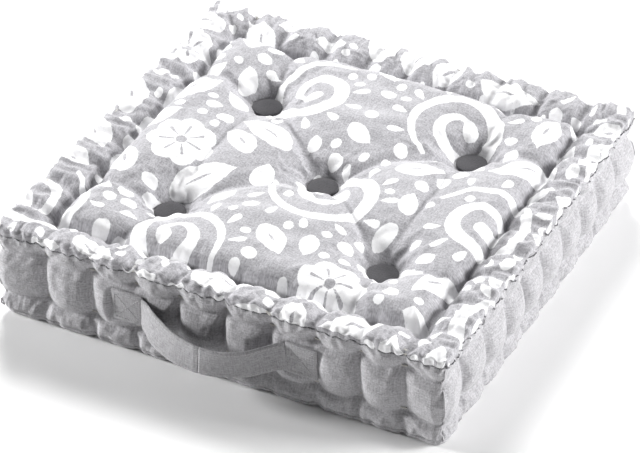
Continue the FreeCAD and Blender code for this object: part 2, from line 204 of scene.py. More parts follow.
@dataclass
class Cover:
    """The simulated shell of cloth."""

    form: Form
    cell: float = 3.1 * MM
    ring_cell: float = 2.5 * MM
    side_cell: float = 2.9 * MM
    growth: float = 0.02
    field_growth: float = 0.045
    tuft_growth: float = 0.08
    gather_growth: float = 0.34
    frames: int = 14
    quality: int = 4
    stiffness: float = 20.0
    shear: float = 4.0
    bending: float = 0.05
    pressure: float = 2.5
    hold: float = 12.0
    reach: float = 7 * MM
    labels: np.ndarray = field(default=None)
    flat: np.ndarray = field(default=None)

    def line(self, half: float) -> np.ndarray:
        """Places of the lattice lines across one side, closer together over the rolled edge.

        Args:
            half: Half the side's length.

        Returns:
            Places from minus half to half.
        """
        roll = self.form.roll_width
        ring = max(2, round(roll / self.ring_cell))
        middle = max(2, round((2 * half - 2 * roll) / self.cell))
        return np.concatenate([
            np.linspace(-half, -half + roll, ring, endpoint=False),
            np.linspace(-half + roll, half - roll, middle, endpoint=False),
            np.linspace(half - roll, half, ring + 1),
        ])

    def span(self, place: np.ndarray, side: Side, half: float) -> tuple[np.ndarray, np.ndarray, np.ndarray]:
        """Where places along a side fall between its stitches.

        Args:
            place: Distances from the middle of the side.
            side: The side.
            half: Half the side's length.

        Returns:
            The share of the way from one stitch to the next, the number of the pad, and the distance
            to the nearest stitch.
        """
        stitches = self.form.stitch_places(side)
        ends = np.concatenate([[-half - 30 * MM], stitches, [half + 30 * MM]])
        number = np.clip(np.searchsorted(ends, place) - 1, 0, len(ends) - 2)
        share = (place - ends[number]) / (ends[number + 1] - ends[number])
        nearest = np.abs(place[:, None] - stitches[None, :]).min(axis=1)
        return share, number, nearest

    def side_depth(self, place: np.ndarray, z: np.ndarray, side: Side, half: float) -> np.ndarray:
        """How far the side lies inside its widest face.

        Args:
            place: Distances from the middle of the side.
            z: Heights.
            side: The side.
            half: Half the side's length.

        Returns:
            The depth at each point, in metres.
        """
        f = self.form
        draw = np.random.default_rng(31 + side.value)
        share, number, nearest = self.span(place, side, half)
        puff = 4 * share * (1 - share)
        fat = 1 + draw.uniform(-0.2, 0.2, 12)[number]
        bow = draw.uniform(3.5, 6.5, 12)[number] * MM
        below_top = smooth((f.top_seam - z) / (14 * MM))
        above_bottom = smooth((z - f.bottom_seam) / (10 * MM))
        level = z + bow * puff * below_top * above_bottom
        ridge = np.interp(level, [f.bottom_seam, 15 * MM, 23 * MM, f.lower_stitch, 33 * MM, 42 * MM, 53 * MM,
                                  66 * MM, 73 * MM, f.upper_stitch, 80 * MM, 85 * MM, f.top_seam],
                          np.array([4.0, 0.5, 2.5, 8.5, 3.5, 0.0, -2.0, 0.0, 3.8, 8.5, 3.4, 1.2, 2.2]) * MM)
        valley = np.interp(z, [f.bottom_seam, 18 * MM, f.lower_stitch, 40 * MM, 53 * MM, 66 * MM,
                               f.upper_stitch, 84 * MM, f.top_seam],
                           np.array([8.0, 12.0, 17.5, 14.5, 13.0, 14.5, 18.0, 11.0, 8.0]) * MM)
        round_pad = np.clip(puff, 0, 1) ** 0.42
        depth = valley + (ridge * fat ** 0.5 - valley) * round_pad
        folds = Gathers(51 + side.value).along(place + 0.12 * (z - f.top_seam))
        near_seam = smooth((z - 80 * MM) / (14 * MM)) * (0.35 + 0.65 * bell(nearest, 14 * MM))
        low_folds = Gathers(61 + side.value, 15 * MM).along(place - 0.4 * z)
        near_foot = smooth((24 * MM - z) / (12 * MM)) * (0.3 + 0.7 * bell(nearest, 12 * MM))
        if side is Side.FRONT:
            for middle in PATCH_MIDDLES:
                under = smooth((22 * MM - np.abs(place - middle)) / (7 * MM))
                under = under * smooth((21 * MM - np.abs(z - PATCH_HEIGHT)) / (6 * MM))
                depth = depth * (1 - under) + 5.0 * MM * under
        return depth + 0.9 * MM * folds * near_seam + 2.0 * MM * low_folds * near_foot

    def roll_height(self, place: np.ndarray, inset: np.ndarray, side: Side, half: float) -> np.ndarray:
        """Height of the rolled edge.

        Args:
            place: Distances from the middle of the side.
            inset: Distances in from the seam.
            side: The side whose roll it is.
            half: Half the side's length.

        Returns:
            The height at each point, in metres.
        """
        f = self.form
        draw = np.random.default_rng(71 + side.value)
        share, number, nearest = self.span(place, side, half)
        puff = np.clip(4 * share * (1 - share), 0, 1)
        crest = 18 * MM + draw.uniform(-2, 2, 12)[number] * MM
        top = f.height - 2.5 * MM + draw.uniform(-1.8, 0.8, 12)[number] * MM
        waist = bell(nearest, 7.5 * MM)
        top = top - 7.0 * MM * waist
        # between the stitches the roll leans out over the groove
        inner = f.roll_width + (3.0 * puff ** 0.5 - 3.5) * MM
        floor = f.groove_floor + (5.0 * puff ** 0.6) * MM
        outer_side = f.top_seam + (top - f.top_seam) * arch(inset / crest)
        inner_side = floor + (top - floor) * arch((inner - inset) / (inner - crest))
        height = np.where(inset < crest, outer_side, np.where(inset < inner, inner_side, floor))
        folds = Gathers(81 + side.value).along(place + 0.1 * inset)
        broad = Gathers(91 + side.value, 15 * MM, 4).along(place - 0.35 * inset)
        gathered = smooth((26 * MM - inset) / (24 * MM)) * (0.55 + 0.75 * bell(nearest, 12 * MM))
        over = smooth(inset / (8 * MM)) * smooth((f.roll_width - inset) / (16 * MM))
        return height + 2.4 * MM * folds * gathered + 0.8 * MM * broad * over

    def field_height(self, x: np.ndarray, y: np.ndarray, inset: np.ndarray, floor: np.ndarray) -> np.ndarray:
        """Height of the tufted field before the cloth is blown up.

        Args:
            x: Places along the length.
            y: Places along the width.
            inset: Distances in from the seam.
            floor: Height of the groove beside each point.

        Returns:
            The height at each point, in metres.
        """
        f = self.form
        rise = arch((inset - f.roll_width) / (24 * MM))
        height = floor + (f.field_crown - floor) * rise
        centre, *outer = f.tufts
        creases = [(centre, tuft, 16 * MM, 14 * MM) for tuft in outer]
        reach_x, reach_y = f.half_length - f.roll_width, f.half_width - f.roll_width
        for tuft_x, tuft_y in outer:
            to_end = (math.copysign(reach_x, tuft_x), tuft_y * 1.08)
            to_face = (tuft_x * 1.06, math.copysign(reach_y, tuft_y))
            creases.append(((tuft_x, tuft_y), to_end, 13 * MM, 9 * MM))
            creases.append(((tuft_x, tuft_y), to_face, 13 * MM, 9 * MM))
        creases.append((outer[0], outer[3], 8 * MM, 12 * MM))
        creases.append((outer[1], outer[2], 8 * MM, 12 * MM))
        for (start_x, start_y), (end_x, end_y), depth, width in creases:
            run_x, run_y = end_x - start_x, end_y - start_y
            share = np.clip(((x - start_x) * run_x + (y - start_y) * run_y) / (run_x ** 2 + run_y ** 2), 0, 1)
            away = np.hypot(x - start_x - share * run_x, y - start_y - share * run_y)
            height = height - depth * np.exp(-away / width)
        draw = np.random.default_rng(17)
        for tuft_x, tuft_y in f.tufts:
            turn = np.arctan2(y - tuft_y, x - tuft_x)
            away = np.hypot(x - tuft_x, y - tuft_y) - f.tuft_radius * 0.95
            steep = 1 - (1 - np.clip(away / (64 * MM), 0, 1)) ** 3.0
            height = f.tuft_seat + (height - f.tuft_seat) * steep
            pleat = sum(
                draw.uniform(0.4, 1.0) * np.cos(count * turn + draw.uniform(0, 6.3))
                for count in (5, 8, 11)
            )
            height = height + 2.4 * MM * pleat * bell(away - 11 * MM, 12 * MM) * smooth(away / (8 * MM))
        return height

    def plan(self, x: np.ndarray, y: np.ndarray, depth_x: np.ndarray, depth_y: np.ndarray
             ) -> tuple[np.ndarray, np.ndarray]:
        """Move points inwards from the four faces and round the plan's corners.

        Args:
            x: Places along the length.
            y: Places along the width.
            depth_x: How far the ends lie inside the box beside each point.
            depth_y: How far the front and back lie inside it.

        Returns:
            The new places.
        """
        f = self.form
        radius = f.corner_radius
        u = np.clip((np.abs(x) - (f.half_length - radius)) / radius, 0, None)
        v = np.clip((np.abs(y) - (f.half_width - radius)) / radius, 0, None)
        new_u = u * np.sqrt(np.clip(1 - np.minimum(v, 1) ** 2 / 2, 0, 1))
        new_v = v * np.sqrt(np.clip(1 - np.minimum(u, 1) ** 2 / 2, 0, 1))
        moved_x = x + np.sign(x) * (new_u - u) * radius
        moved_y = y + np.sign(y) * (new_v - v) * radius
        return moved_x - np.sign(x) * depth_x, moved_y - np.sign(y) * depth_y

    def build_lattice(self) -> bpy.types.Object:
        """Make the shell as a mesh in its starting shape.

        Returns:
            The shell, with groups that say how it is held and how much spare cloth it has.
        """
        f = self.form
        xs, ys = self.line(f.half_length), self.line(f.half_width)
        rows = round((f.top_seam - f.bottom_seam) / self.side_cell)
        zs = np.linspace(f.bottom_seam, f.top_seam, rows + 1)
        nx, ny, nz = len(xs) - 1, len(ys) - 1, len(zs) - 1
        i, j, k = np.meshgrid(np.arange(nx + 1), np.arange(ny + 1), np.arange(nz + 1), indexing="ij")
        surface = (i == 0) | (i == nx) | (j == 0) | (j == ny) | (k == 0) | (k == nz)
        index = np.full(surface.shape, -1)
        index[surface] = np.arange(surface.sum())
        i, j, k = i[surface], j[surface], k[surface]
        x, y, z = xs[i], ys[j], zs[k]
        self.flat = np.stack([x, y, z], axis=1)
        start = self.start_shape(x, y, z, k == nz, k == 0)
        quads, labels = [], []

        def add(grid: np.ndarray, label: Side, flip: bool) -> None:
            """Add one face of the box.

            Args:
                grid: The lattice points of the face.
                label: The side it belongs to.
                flip: True to turn its faces over.
            """
            a, b, c, d = grid[:-1, :-1], grid[1:, :-1], grid[1:, 1:], grid[:-1, 1:]
            order = (a, d, c, b) if flip else (a, b, c, d)
            quads.append(np.stack([g.ravel() for g in order], axis=1))
            labels.append(np.full(a.size, label.value))

        add(index[:, :, nz], Side.TOP, False)
        add(index[:, :, 0], Side.BOTTOM, True)
        add(index[:, 0, :], Side.FRONT, False)
        add(index[:, ny, :], Side.BACK, True)
        add(index[0, :, :], Side.LEFT, True)
        add(index[nx, :, :], Side.RIGHT, False)
        faces, self.labels = np.concatenate(quads), np.concatenate(labels)
        mesh = bpy.data.meshes.new("cover_shell")
        mesh.from_pydata(start.tolist(), [], faces.tolist())
        mesh.update()
        shell = bpy.data.objects.new("cover_shell", mesh)
        bpy.context.scene.collection.objects.link(shell)
        hold, spare, slack = self.holding(x, y, z, k == nz, k == 0)
        group = shell.vertex_groups.new(name="stitched")
        levels = np.round(hold, 2)
        for level in np.unique(levels):
            group.add(np.flatnonzero(levels == level).tolist(), float(level), "REPLACE")
        # the cut is a little larger all over, and crimped along the seams where it is gathered
        normals = np.empty(len(start) * 3)
        mesh.vertices.foreach_get("normal", normals)
        nearer_end = f.half_length - np.abs(x) < f.half_width - np.abs(y)
        column = np.where(nearer_end, j, i)
        lean = np.where(column % 2 == 0, 1.0, -1.0) * spare * self.ring_cell
        crimp = 0.5 * lean * math.sqrt((1 + self.gather_growth) ** 2 - 1)
        crimp += np.where((i + j + k) % 2 == 0, 0.5, -0.5) * self.cell * np.sqrt((1 + slack) ** 2 - 1)
        cut = start * (1 + self.growth) + normals.reshape(-1, 3) * crimp[:, None]
        shell.shape_key_add(name="start")
        key = shell.shape_key_add(name="cut")
        key.data.foreach_set("co", cut.astype(np.float32).ravel())
        return shell

    def start_shape(self, x: np.ndarray, y: np.ndarray, z: np.ndarray, top: np.ndarray, bottom: np.ndarray
                    ) -> np.ndarray:
        """Shape the box into pads, rolled edge and tufted field.

        Args:
            x: Places along the length on the box.
            y: Places along the width on the box.
            z: Heights on the box.
            top: True on the top face.
            bottom: True on the bottom face.

        Returns:
            One row of three coordinates for each point.
        """
        f = self.form
        inset_x, inset_y = f.half_length - np.abs(x), f.half_width - np.abs(y)
        inset = np.minimum(inset_x, inset_y)
        depths = []
        for half, place, other in ((f.half_width, y, x), (f.half_length, x, y)):
            pair = (Side.LEFT, Side.RIGHT) if half == f.half_width else (Side.FRONT, Side.BACK)
            away = inset_x if half == f.half_width else inset_y
            depth = np.where(other < 0, self.side_depth(place, z, pair[0], half),
                             self.side_depth(place, z, pair[1], half))
            fade = np.where(top, np.exp(-away / (9 * MM)), np.where(bottom, np.exp(-away / (30 * MM)), 1.0))
            on_face = np.exp(-away / (0.5 * MM))
            lean_out = np.where(top, 4.0 * MM * np.sin(np.pi * np.clip(away / (17 * MM), 0, 1)), 0.0)
            depths.append(depth * np.where(top | bottom, fade, on_face) - lean_out)
        px, py = self.plan(x, y, depths[0], depths[1])
        rolls = []
        for side, place, away, half in ((Side.LEFT, y, inset_x, f.half_width),
                                        (Side.RIGHT, y, inset_x, f.half_width),
                                        (Side.FRONT, x, inset_y, f.half_length),
                                        (Side.BACK, x, inset_y, f.half_length)):
            rolls.append(self.roll_height(place, np.clip(away, 0, f.roll_width), side, half))
        ends = np.where(x < 0, rolls[0], rolls[1])
        faces = np.where(y < 0, rolls[2], rolls[3])
        nearer = smooth((inset_x - inset_y) / (8 * MM) + 0.5)
        roll = ends * (1 - nearer) + faces * nearer
        on_rolled_edge = inset < f.roll_width
        mitre = bell(inset_x - inset_y, 4 * MM) * smooth((inset - 6 * MM) / (20 * MM)) * on_rolled_edge
        roll = roll - 4 * MM * mitre
        height = np.where(inset < f.roll_width, roll, self.field_height(x, y, inset, roll))
        under = f.bottom_seam * (1 - arch(inset / (11 * MM)))
        for tuft_x, tuft_y in f.tufts:
            away = np.hypot(x - tuft_x, y - tuft_y) - f.tuft_radius
            under = np.maximum(under, f.under_seat * (1 - smooth(away / (24 * MM))))
        return np.stack([px, py, np.where(top, height, np.where(bottom, under, z))], axis=1)

    def holding(self, x: np.ndarray, y: np.ndarray, z: np.ndarray, top: np.ndarray, bottom: np.ndarray
                ) -> tuple[np.ndarray, np.ndarray, np.ndarray]:
        """How firmly each point is held and how much spare cloth lies around it.

        Args:
            x: Places along the length on the box.
            y: Places along the width on the box.
            z: Heights on the box.
            top: True on the top face.
            bottom: True on the bottom face.

        Returns:
            The hold from 0 to 1, the share of the gathers from 0 to 1, and the slack all round.
        """
        f = self.form
        inset_x, inset_y = f.half_length - np.abs(x), f.half_width - np.abs(y)
        inset = np.minimum(inset_x, inset_y)
        hold = np.full(len(x), 0.10)
        spare = np.zeros(len(x))
        slack = np.full(len(x), self.field_growth)
        slack[~top] = 0.0
        hold[bottom & (inset > 14 * MM)] = 1.0
        field_part = top & (inset > f.roll_width)
        hold[field_part] = 0.05
        hold[top & (inset <= 8 * MM)] = 0.35
        spare[bottom] = 0.0
        ring = top & (inset < f.roll_width)
        spare[ring] = 1.0 - 0.4 * inset[ring] / f.roll_width
        above = ~top & ~bottom & (z > f.upper_stitch + 2 * MM)
        spare[above] = 0.6 * smooth((z[above] - f.upper_stitch) / (12 * MM))
        below = ~top & ~bottom & (z < f.lower_stitch - 3 * MM)
        spare[below] = 0.45
        for tuft_x, tuft_y in f.tufts:
            away = np.hypot(x - tuft_x, y - tuft_y)
            near = top & (away < 55 * MM)
            slack[near] = self.field_growth + self.tuft_growth * (1 - away[near] / (55 * MM))
            hold[top & (away < f.tuft_radius * 0.95)] = 1.0
        for side in (Side.FRONT, Side.BACK, Side.LEFT, Side.RIGHT):
            lengthways = side in (Side.FRONT, Side.BACK)
            place, off, away = (x, y, inset_y) if lengthways else (y, x, inset_x)
            here = (off < 0) == (side in (Side.FRONT, Side.LEFT))
            half = f.half_length if lengthways else f.half_width
            face = here & ~top & ~bottom & (away < 1e-6)
            share, _, nearest = self.span(place, side, half)
            valley = face & (nearest < 2.2 * MM) & (z < f.upper_stitch) & (z > f.lower_stitch)
            hold[valley] = 0.8
            for level in (f.upper_stitch, f.lower_stitch):
                crease = face & (np.abs(z - level + 5 * MM * 4 * share * (1 - share)) < 2.2 * MM)
                hold[crease] = np.maximum(hold[crease], 0.6)
                hold[face & (np.abs(z - level) < 2.2 * MM) & (nearest < 3.5 * MM)] = 1.0
            if side is Side.FRONT:
                for middle in PATCH_MIDDLES:
                    under_patch = np.abs(place - middle) < 16 * MM
                    at_patch_height = np.abs(z - PATCH_HEIGHT) < 16 * MM
                    hold[face & under_patch & at_patch_height] = 0.95
            in_groove = np.abs(away - f.roll_width) < 1.6 * MM
            groove = here & top & in_groove & (half - np.abs(place) > f.roll_width)
            hold[groove] = np.where(nearest[groove] < 3.5 * MM, 1.0, 0.9)
        return hold, spare, slack

    def simulate(self, shell: bpy.types.Object) -> None:
        """Blow the shell up against its stitches with cloth simulation and keep the result.

        Args:
            shell: The cover's lattice, in its start shape.
        """
        start = np.empty(len(shell.data.vertices) * 3)
        shell.data.vertices.foreach_get("co", start)
        # a modifier that changes nothing: cloth reads its cut size only from behind another modifier
        carrier = shell.modifiers.new("Carrier", "EDGE_SPLIT")
        carrier.use_edge_angle = False
        carrier.use_edge_sharp = False
        cloth = shell.modifiers.new("Cloth", "CLOTH")
        settings = cloth.settings
        settings.quality = self.quality
        settings.mass = 0.05
        settings.tension_stiffness = self.stiffness
        settings.compression_stiffness = self.stiffness
        settings.shear_stiffness = self.shear
        settings.bending_stiffness = self.bending
        settings.tension_damping = 1.0
        settings.compression_damping = 1.0
        settings.shear_damping = 1.0
        settings.bending_damping = 0.1
        settings.air_damping = 2.0
        settings.use_pressure = True
        settings.uniform_pressure_force = self.pressure
        settings.vertex_group_mass = "stitched"
        settings.pin_stiffness = self.hold
        settings.rest_shape_key = shell.data.shape_keys.key_blocks["cut"]
        settings.effector_weights.gravity = 0.0
        cloth.collision_settings.use_collision = False
        cloth.collision_settings.use_self_collision = False
        cloth.point_cache.frame_start = 1
        cloth.point_cache.frame_end = self.frames
        scene = bpy.context.scene
        for frame_number in range(1, self.frames + 1):
            scene.frame_set(frame_number)
        evaluated = shell.evaluated_get(bpy.context.evaluated_depsgraph_get())
        result = np.empty(len(shell.data.vertices) * 3)
        evaluated.data.vertices.foreach_get("co", result)
        shell.modifiers.clear()
        shell.shape_key_clear()
        step = (result - start).reshape(-1, 3)
        length = np.linalg.norm(step, axis=1)
        LOG.info("cover moved %.1f mm on average, %.1f mm at most", length.mean() / MM, length.max() / MM)
        step *= (self.reach * np.tanh(length / self.reach) / np.maximum(length, 1e-9))[:, None]
        result = start.reshape(-1, 3) + step
        result[:, 2] = np.maximum(result[:, 2], 0)
        shell.data.vertices.foreach_set("co", result.ravel())
        shell.data.update()
        scene.frame_set(1)


def deselect() -> None:
    """Leave nothing selected."""
    if bpy.context.object and bpy.context.object.mode == "EDIT":
        bpy.ops.object.mode_set(mode="OBJECT")
    bpy.ops.object.select_all(action="DESELECT")


def link_mesh(name: str, points: np.ndarray, faces: Sequence[Sequence[int]]) -> bpy.types.Object:
    """Make an object from points and faces.

    Args:
        name: Its name.
        points: One row of three coordinates for each point.
        faces: The numbers of each face's points.

    Returns:
        The new object, linked to the scene.
    """
    mesh = bpy.data.meshes.new(name)
    mesh.from_pydata([tuple(point) for point in np.asarray(points).tolist()], [], faces)
    mesh.update()
    item = bpy.data.objects.new(name, mesh)
    bpy.context.scene.collection.objects.link(item)
    return item


def repeat_mesh(name: str, pattern: bpy.types.Object, places: Sequence[Matrix]) -> bpy.types.Object:
    """Copy a modelled piece to many places as one mesh and remove the pattern.

    Args:
        name: Name of the new object.
        pattern: The piece that was modelled at the origin.
        places: Where each copy goes.

    Returns:
        One object that holds every copy.
    """
    count = len(pattern.data.vertices)
    points = np.array([tuple(v.co) for v in pattern.data.vertices])
    faces = [list(face.vertices) for face in pattern.data.polygons]
    all_points, all_faces = [], []
    for number, place in enumerate(places):
        turn = np.array(place.to_3x3())
        all_points.append(points @ turn.T + np.array(place.to_translation()))
        all_faces += [[index + number * count for index in face] for face in faces]
    item = link_mesh(name, np.concatenate(all_points), all_faces)
    item.data.shade_smooth()
    bpy.data.objects.remove(pattern)
    return item


def facing(place: Sequence[float], along: Sequence[float], out: Sequence[float]) -> Matrix:
    """Frame whose X runs along a seam and whose Z points out of the cloth.

    Args:
        place: Its origin.
        along: Direction of the seam.
        out: Direction out of the cloth.

    Returns:
        The frame as a matrix.
    """
    x_axis = Vector(along).normalized()
    z_axis = (Vector(out) - x_axis * Vector(out).dot(x_axis)).normalized()
    y_axis = z_axis.cross(x_axis)
    return Matrix.Translation(Vector(place)) @ Matrix((x_axis, y_axis, z_axis)).transposed().to_4x4()


class Wire:
    """One output of a shader node, with arithmetic."""

    def __init__(self, recipe: "Recipe", socket: bpy.types.NodeSocket) -> None:
        """Keep the socket and the recipe that it belongs to."""
        self.recipe = recipe
        self.socket = socket

    def math(self, operation: str, *others: "Wire | float") -> "Wire":
        """Put this value first through a Math node.

        Args:
            operation: The node's operation.
            others: The second and third values.

        Returns:
            The result.
        """
        values = {0: self}
        values.update({number + 1: other for number, other in enumerate(others)})
        return self.recipe.node("ShaderNodeMath", {"operation": operation}, values)

    def __add__(self, other: "Wire | float") -> "Wire":
        """Add."""
        return self.math("ADD", other)

    __radd__ = __add__

    def __mul__(self, other: "Wire | float") -> "Wire":
        """Multiply."""
        return self.math("MULTIPLY", other)

    __rmul__ = __mul__

    def __sub__(self, other: "Wire | float") -> "Wire":
        """Take away."""
        return self.math("SUBTRACT", other)

    def __rsub__(self, other: float) -> "Wire":
        """Take this away from a number."""
        return self.recipe.node("ShaderNodeMath", {"operation": "SUBTRACT"}, {0: other, 1: self})

    def __pow__(self, other: "Wire | float") -> "Wire":
        """Raise to a power."""
        return self.math("POWER", other)

    def ramp(self, low: float, high: float) -> "Wire":
        """Ease from 0 at low to 1 at high."""
        return self.recipe.node("ShaderNodeMapRange", {"interpolation_type": "SMOOTHSTEP"},
                                {0: self, 1: low, 2: high})


class Recipe:
    """A material under construction."""

    def __init__(self, name: str) -> None:
        """Start a material with one shader.

        Args:
            name: Name of the material.
        """
        self.material = bpy.data.materials.new(name)
        self.material.use_nodes = True
        self.tree = self.material.node_tree
        self.shader = self.tree.nodes["Principled BSDF"]

    def node(self, kind: str, settings: dict | None = None, values: dict | None = None,
             output: int | str = 0) -> Wire:
        """Add one node.

        Args:
            kind: Type of the node.
            settings: Its own settings, set first.
            values: Numbers, colours or wires for its sockets, by number or name.
            output: The output to use.

        Returns:
            That output.
        """
        made = self.tree.nodes.new(kind)
        for key, value in (settings or {}).items():
            setattr(made, key, value)
        for key, value in (values or {}).items():
            if isinstance(value, Wire):
                self.tree.links.new(value.socket, made.inputs[key])
            else:
                made.inputs[key].default_value = value
        return Wire(self, made.outputs[output])

    def mix(self, share: Wire | float, first: Wire | tuple, second: Wire | tuple) -> Wire:
        """Mix two colours.

        Args:
            share: How much of the second, 0 to 1.
            first: The first colour.
            second: The second colour.

        Returns:
            The mixed colour.
        """
        return self.node("ShaderNodeMix", {"data_type": "RGBA"}, {0: share, 6: first, 7: second}, 2)

    def noise(self, place: Wire, scale: float, stretch: tuple[float, float, float] = (1, 1, 1),
              detail: float = 2.0) -> Wire:
        """Soft noise, stretched along any axis.

        Args:
            place: The coordinates that it is read at.
            scale: Features in a metre.
            stretch: Scale of each axis.
            detail: Octaves.

        Returns:
            Values around 0.5.
        """
        stretched = self.node("ShaderNodeVectorMath", {"operation": "MULTIPLY"}, {0: place, 1: stretch})
        return self.node("ShaderNodeTexNoise", {}, {"Vector": stretched, "Scale": scale, "Detail": detail})

    def finish(self, colour: Wire | tuple, roughness: Wire | float, height: Wire | None,
               lift: float = 0.0004) -> bpy.types.Material:
        """Join colour, roughness and bump to the shader.

        Args:
            colour: Base colour.
            roughness: Roughness.
            height: Bump height from 0 to 1, or nothing.
            lift: What a height of 1 stands for, in metres.

        Returns:
            The material.
        """
        for name, value in (("Base Color", colour), ("Roughness", roughness)):
            if isinstance(value, Wire):
                self.tree.links.new(value.socket, self.shader.inputs[name])
            else:
                self.shader.inputs[name].default_value = value
        if height is not None:
            bump = self.node("ShaderNodeBump", {}, {"Height": height, "Distance": lift, "Strength": 1.0})
            self.tree.links.new(bump.socket, self.shader.inputs["Normal"])
        return self.material


@dataclass(frozen=True)
class Cotton:
    """Plain woven cotton with slubs and a heathered ground, read along its own threads."""

    name: str
    tint: tuple[float, float, float]
    heather: float = 0.42
    slub: float = 0.5
    sheen: float = 0.25

    def ground(self, recipe: Recipe) -> tuple[Wire, Wire, Wire]:
        """Colour of the dyed ground and the height of its threads.

        Args:
            recipe: The material under construction.

        Returns:
            The colour, the thread height, and how pale each spot is.
        """
        place = recipe.node("ShaderNodeUVMap", {"uv_map": "cloth"})
        warp = recipe.noise(place, 1.0, (900, 110, 1), 1.0)
        weft = recipe.noise(place, 1.0, (110, 900, 1), 1.0)
        fleck = recipe.noise(place, 620.0, detail=3.0)
        cloud = recipe.noise(place, 18.0, detail=2.0)
        threads = (warp - 0.5) * 0.9 + (weft - 0.5) * 0.9
        pale = threads * self.slub + (fleck - 0.5) * self.heather * 2.2 + (cloud - 0.5) * 0.12
        dark = tuple(c * 0.55 for c in self.tint) + (1.0,)
        light = tuple(min(1.0, c * 1.45) for c in self.tint) + (1.0,)
        colour = recipe.mix((pale + 0.5).ramp(0.0, 1.0), dark, light)
        height = (warp + weft) * 0.35 + fleck * 0.3
        return colour, height, pale

    def build(self) -> bpy.types.Material:
        """Make the material.

        Returns:
            The finished material.
        """
        recipe = Recipe(self.name)
        colour, height, pale = self.ground(recipe)
        recipe.shader.inputs["Sheen Weight"].default_value = self.sheen
        recipe.shader.inputs["Sheen Roughness"].default_value = 0.5
        recipe.shader.inputs["Specular IOR Level"].default_value = 0.2
        return recipe.finish(colour, 0.86 + pale * 0.1, height)


@dataclass(frozen=True)
class PrintedCotton(Cotton):
    """The same cotton with a white pattern printed over the ground."""

    ink: tuple[float, float, float] = (0.9, 0.9, 0.91)

    def build(self) -> bpy.types.Material:
        """Make the material.

        Returns:
            The finished material.
        """
        recipe = Recipe(self.name)
        colour, height, pale = self.ground(recipe)
        edge = recipe.node("ShaderNodeAttribute", {"attribute_name": "print"}, {}, "Fac")
        cover = (edge + pale * 0.8).ramp(-0.35, 0.35)
        # the weave shows through the ink a little
        worn = cover * (0.97 - (0.5 - pale).ramp(0.55, 0.95) * 0.35)
        printed = recipe.mix(worn, colour, self.ink + (1.0,))
        recipe.shader.inputs["Sheen Weight"].default_value = self.sheen
        recipe.shader.inputs["Sheen Roughness"].default_value = 0.5
        recipe.shader.inputs["Specular IOR Level"].default_value = 0.2
        return recipe.finish(printed, 0.86 - cover * 0.06, height)


@dataclass(frozen=True)
class Yarn:
    """Twisted thread or twine, read in object coordinates."""

    name: str
    tint: tuple[float, float, float]
    twist: float = 900.0

    def build(self) -> bpy.types.Material:
        """Make the material.

        Returns:
            The finished material.
        """
        recipe = Recipe(self.name)
        place = recipe.node("ShaderNodeTexCoord", {}, {}, "Object")
        strand = recipe.noise(place, self.twist, (1, 1, 2.2), 2.0)
        soil = recipe.noise(place, 60.0, detail=2.0)
        dark = tuple(c * 0.6 for c in self.tint) + (1.0,)
        colour = recipe.mix((strand * 0.7 + soil * 0.3).ramp(0.25, 0.7), dark, self.tint + (1.0,))
        recipe.shader.inputs["Specular IOR Level"].default_value = 0.25
        return recipe.finish(colour, 0.8 + strand * 0.1, strand, 0.0002)


@dataclass(frozen=True)
class Wadding:
    """Loose fibre filling."""

    name: str = "wadding"

    def build(self) -> bpy.types.Material:
        """Make the material.

        Returns:
            The finished material.
        """
        recipe = Recipe(self.name)
        place = recipe.node("ShaderNodeTexCoord", {}, {}, "Object")
        tuft = recipe.noise(place, 120.0, detail=5.0)
        colour = recipe.mix(tuft.ramp(0.3, 0.75), (0.62, 0.6, 0.56, 1), (0.85, 0.84, 0.8, 1))
        return recipe.finish(colour, 0.95, tuft, 0.002)


@dataclass
class Finishes:
    """Every material, made once."""

    printed: bpy.types.Material
    plain: bpy.types.Material
    webbing: bpy.types.Material
    button: bpy.types.Material
    thread: bpy.types.Material
    # dark thread whose colour paints the shade in the groove of the top seam
    seam: bpy.types.Material
    plain_thread: bpy.types.Material
    twine: bpy.types.Material
    wadding: bpy.types.Material

    @classmethod
    def build(cls) -> "Finishes":
        """Make all the materials.

        Returns:
            The finishes, one material each.
        """
        return cls(
            printed=PrintedCotton("printed_cotton", (0.40, 0.395, 0.415), heather=0.45).build(),
            plain=Cotton("plain_cotton", (0.42, 0.414, 0.43)).build(),
            webbing=Cotton("strap_cotton", (0.36, 0.355, 0.368), heather=0.3, slub=0.6).build(),
            button=Cotton("button_cotton", (0.075, 0.073, 0.08), heather=0.3, slub=0.3).build(),
            thread=Yarn("sewing_thread", (0.6, 0.59, 0.61)).build(),
            # dark grey seam thread: painted shade of the top seam's groove, laid on its thread and its
            # slanting stitches
            seam=Yarn("seam_thread", (0.16, 0.16, 0.17)).build(),
            plain_thread=Yarn("grey_thread", (0.42, 0.414, 0.43)).build(),
            twine=Yarn("tufting_twine", (0.6, 0.58, 0.54), 600.0).build(),
            wadding=Wadding().build(),
        )


def lay_cloth(piece: bpy.types.Object, across: np.ndarray) -> None:
    """Give a piece the flat coordinates of its cloth, in metres, as a UV map.

    Args:
        piece: The piece.
        across: One row of two coordinates for each point.
    """
    mesh = piece.data
    corner = np.empty(len(mesh.loops), dtype=np.int64)
    mesh.loops.foreach_get("vertex_index", corner)
    layer = mesh.uv_layers.new(name="cloth")
    layer.data.foreach_set("uv", across[corner].astype(np.float32).ravel())


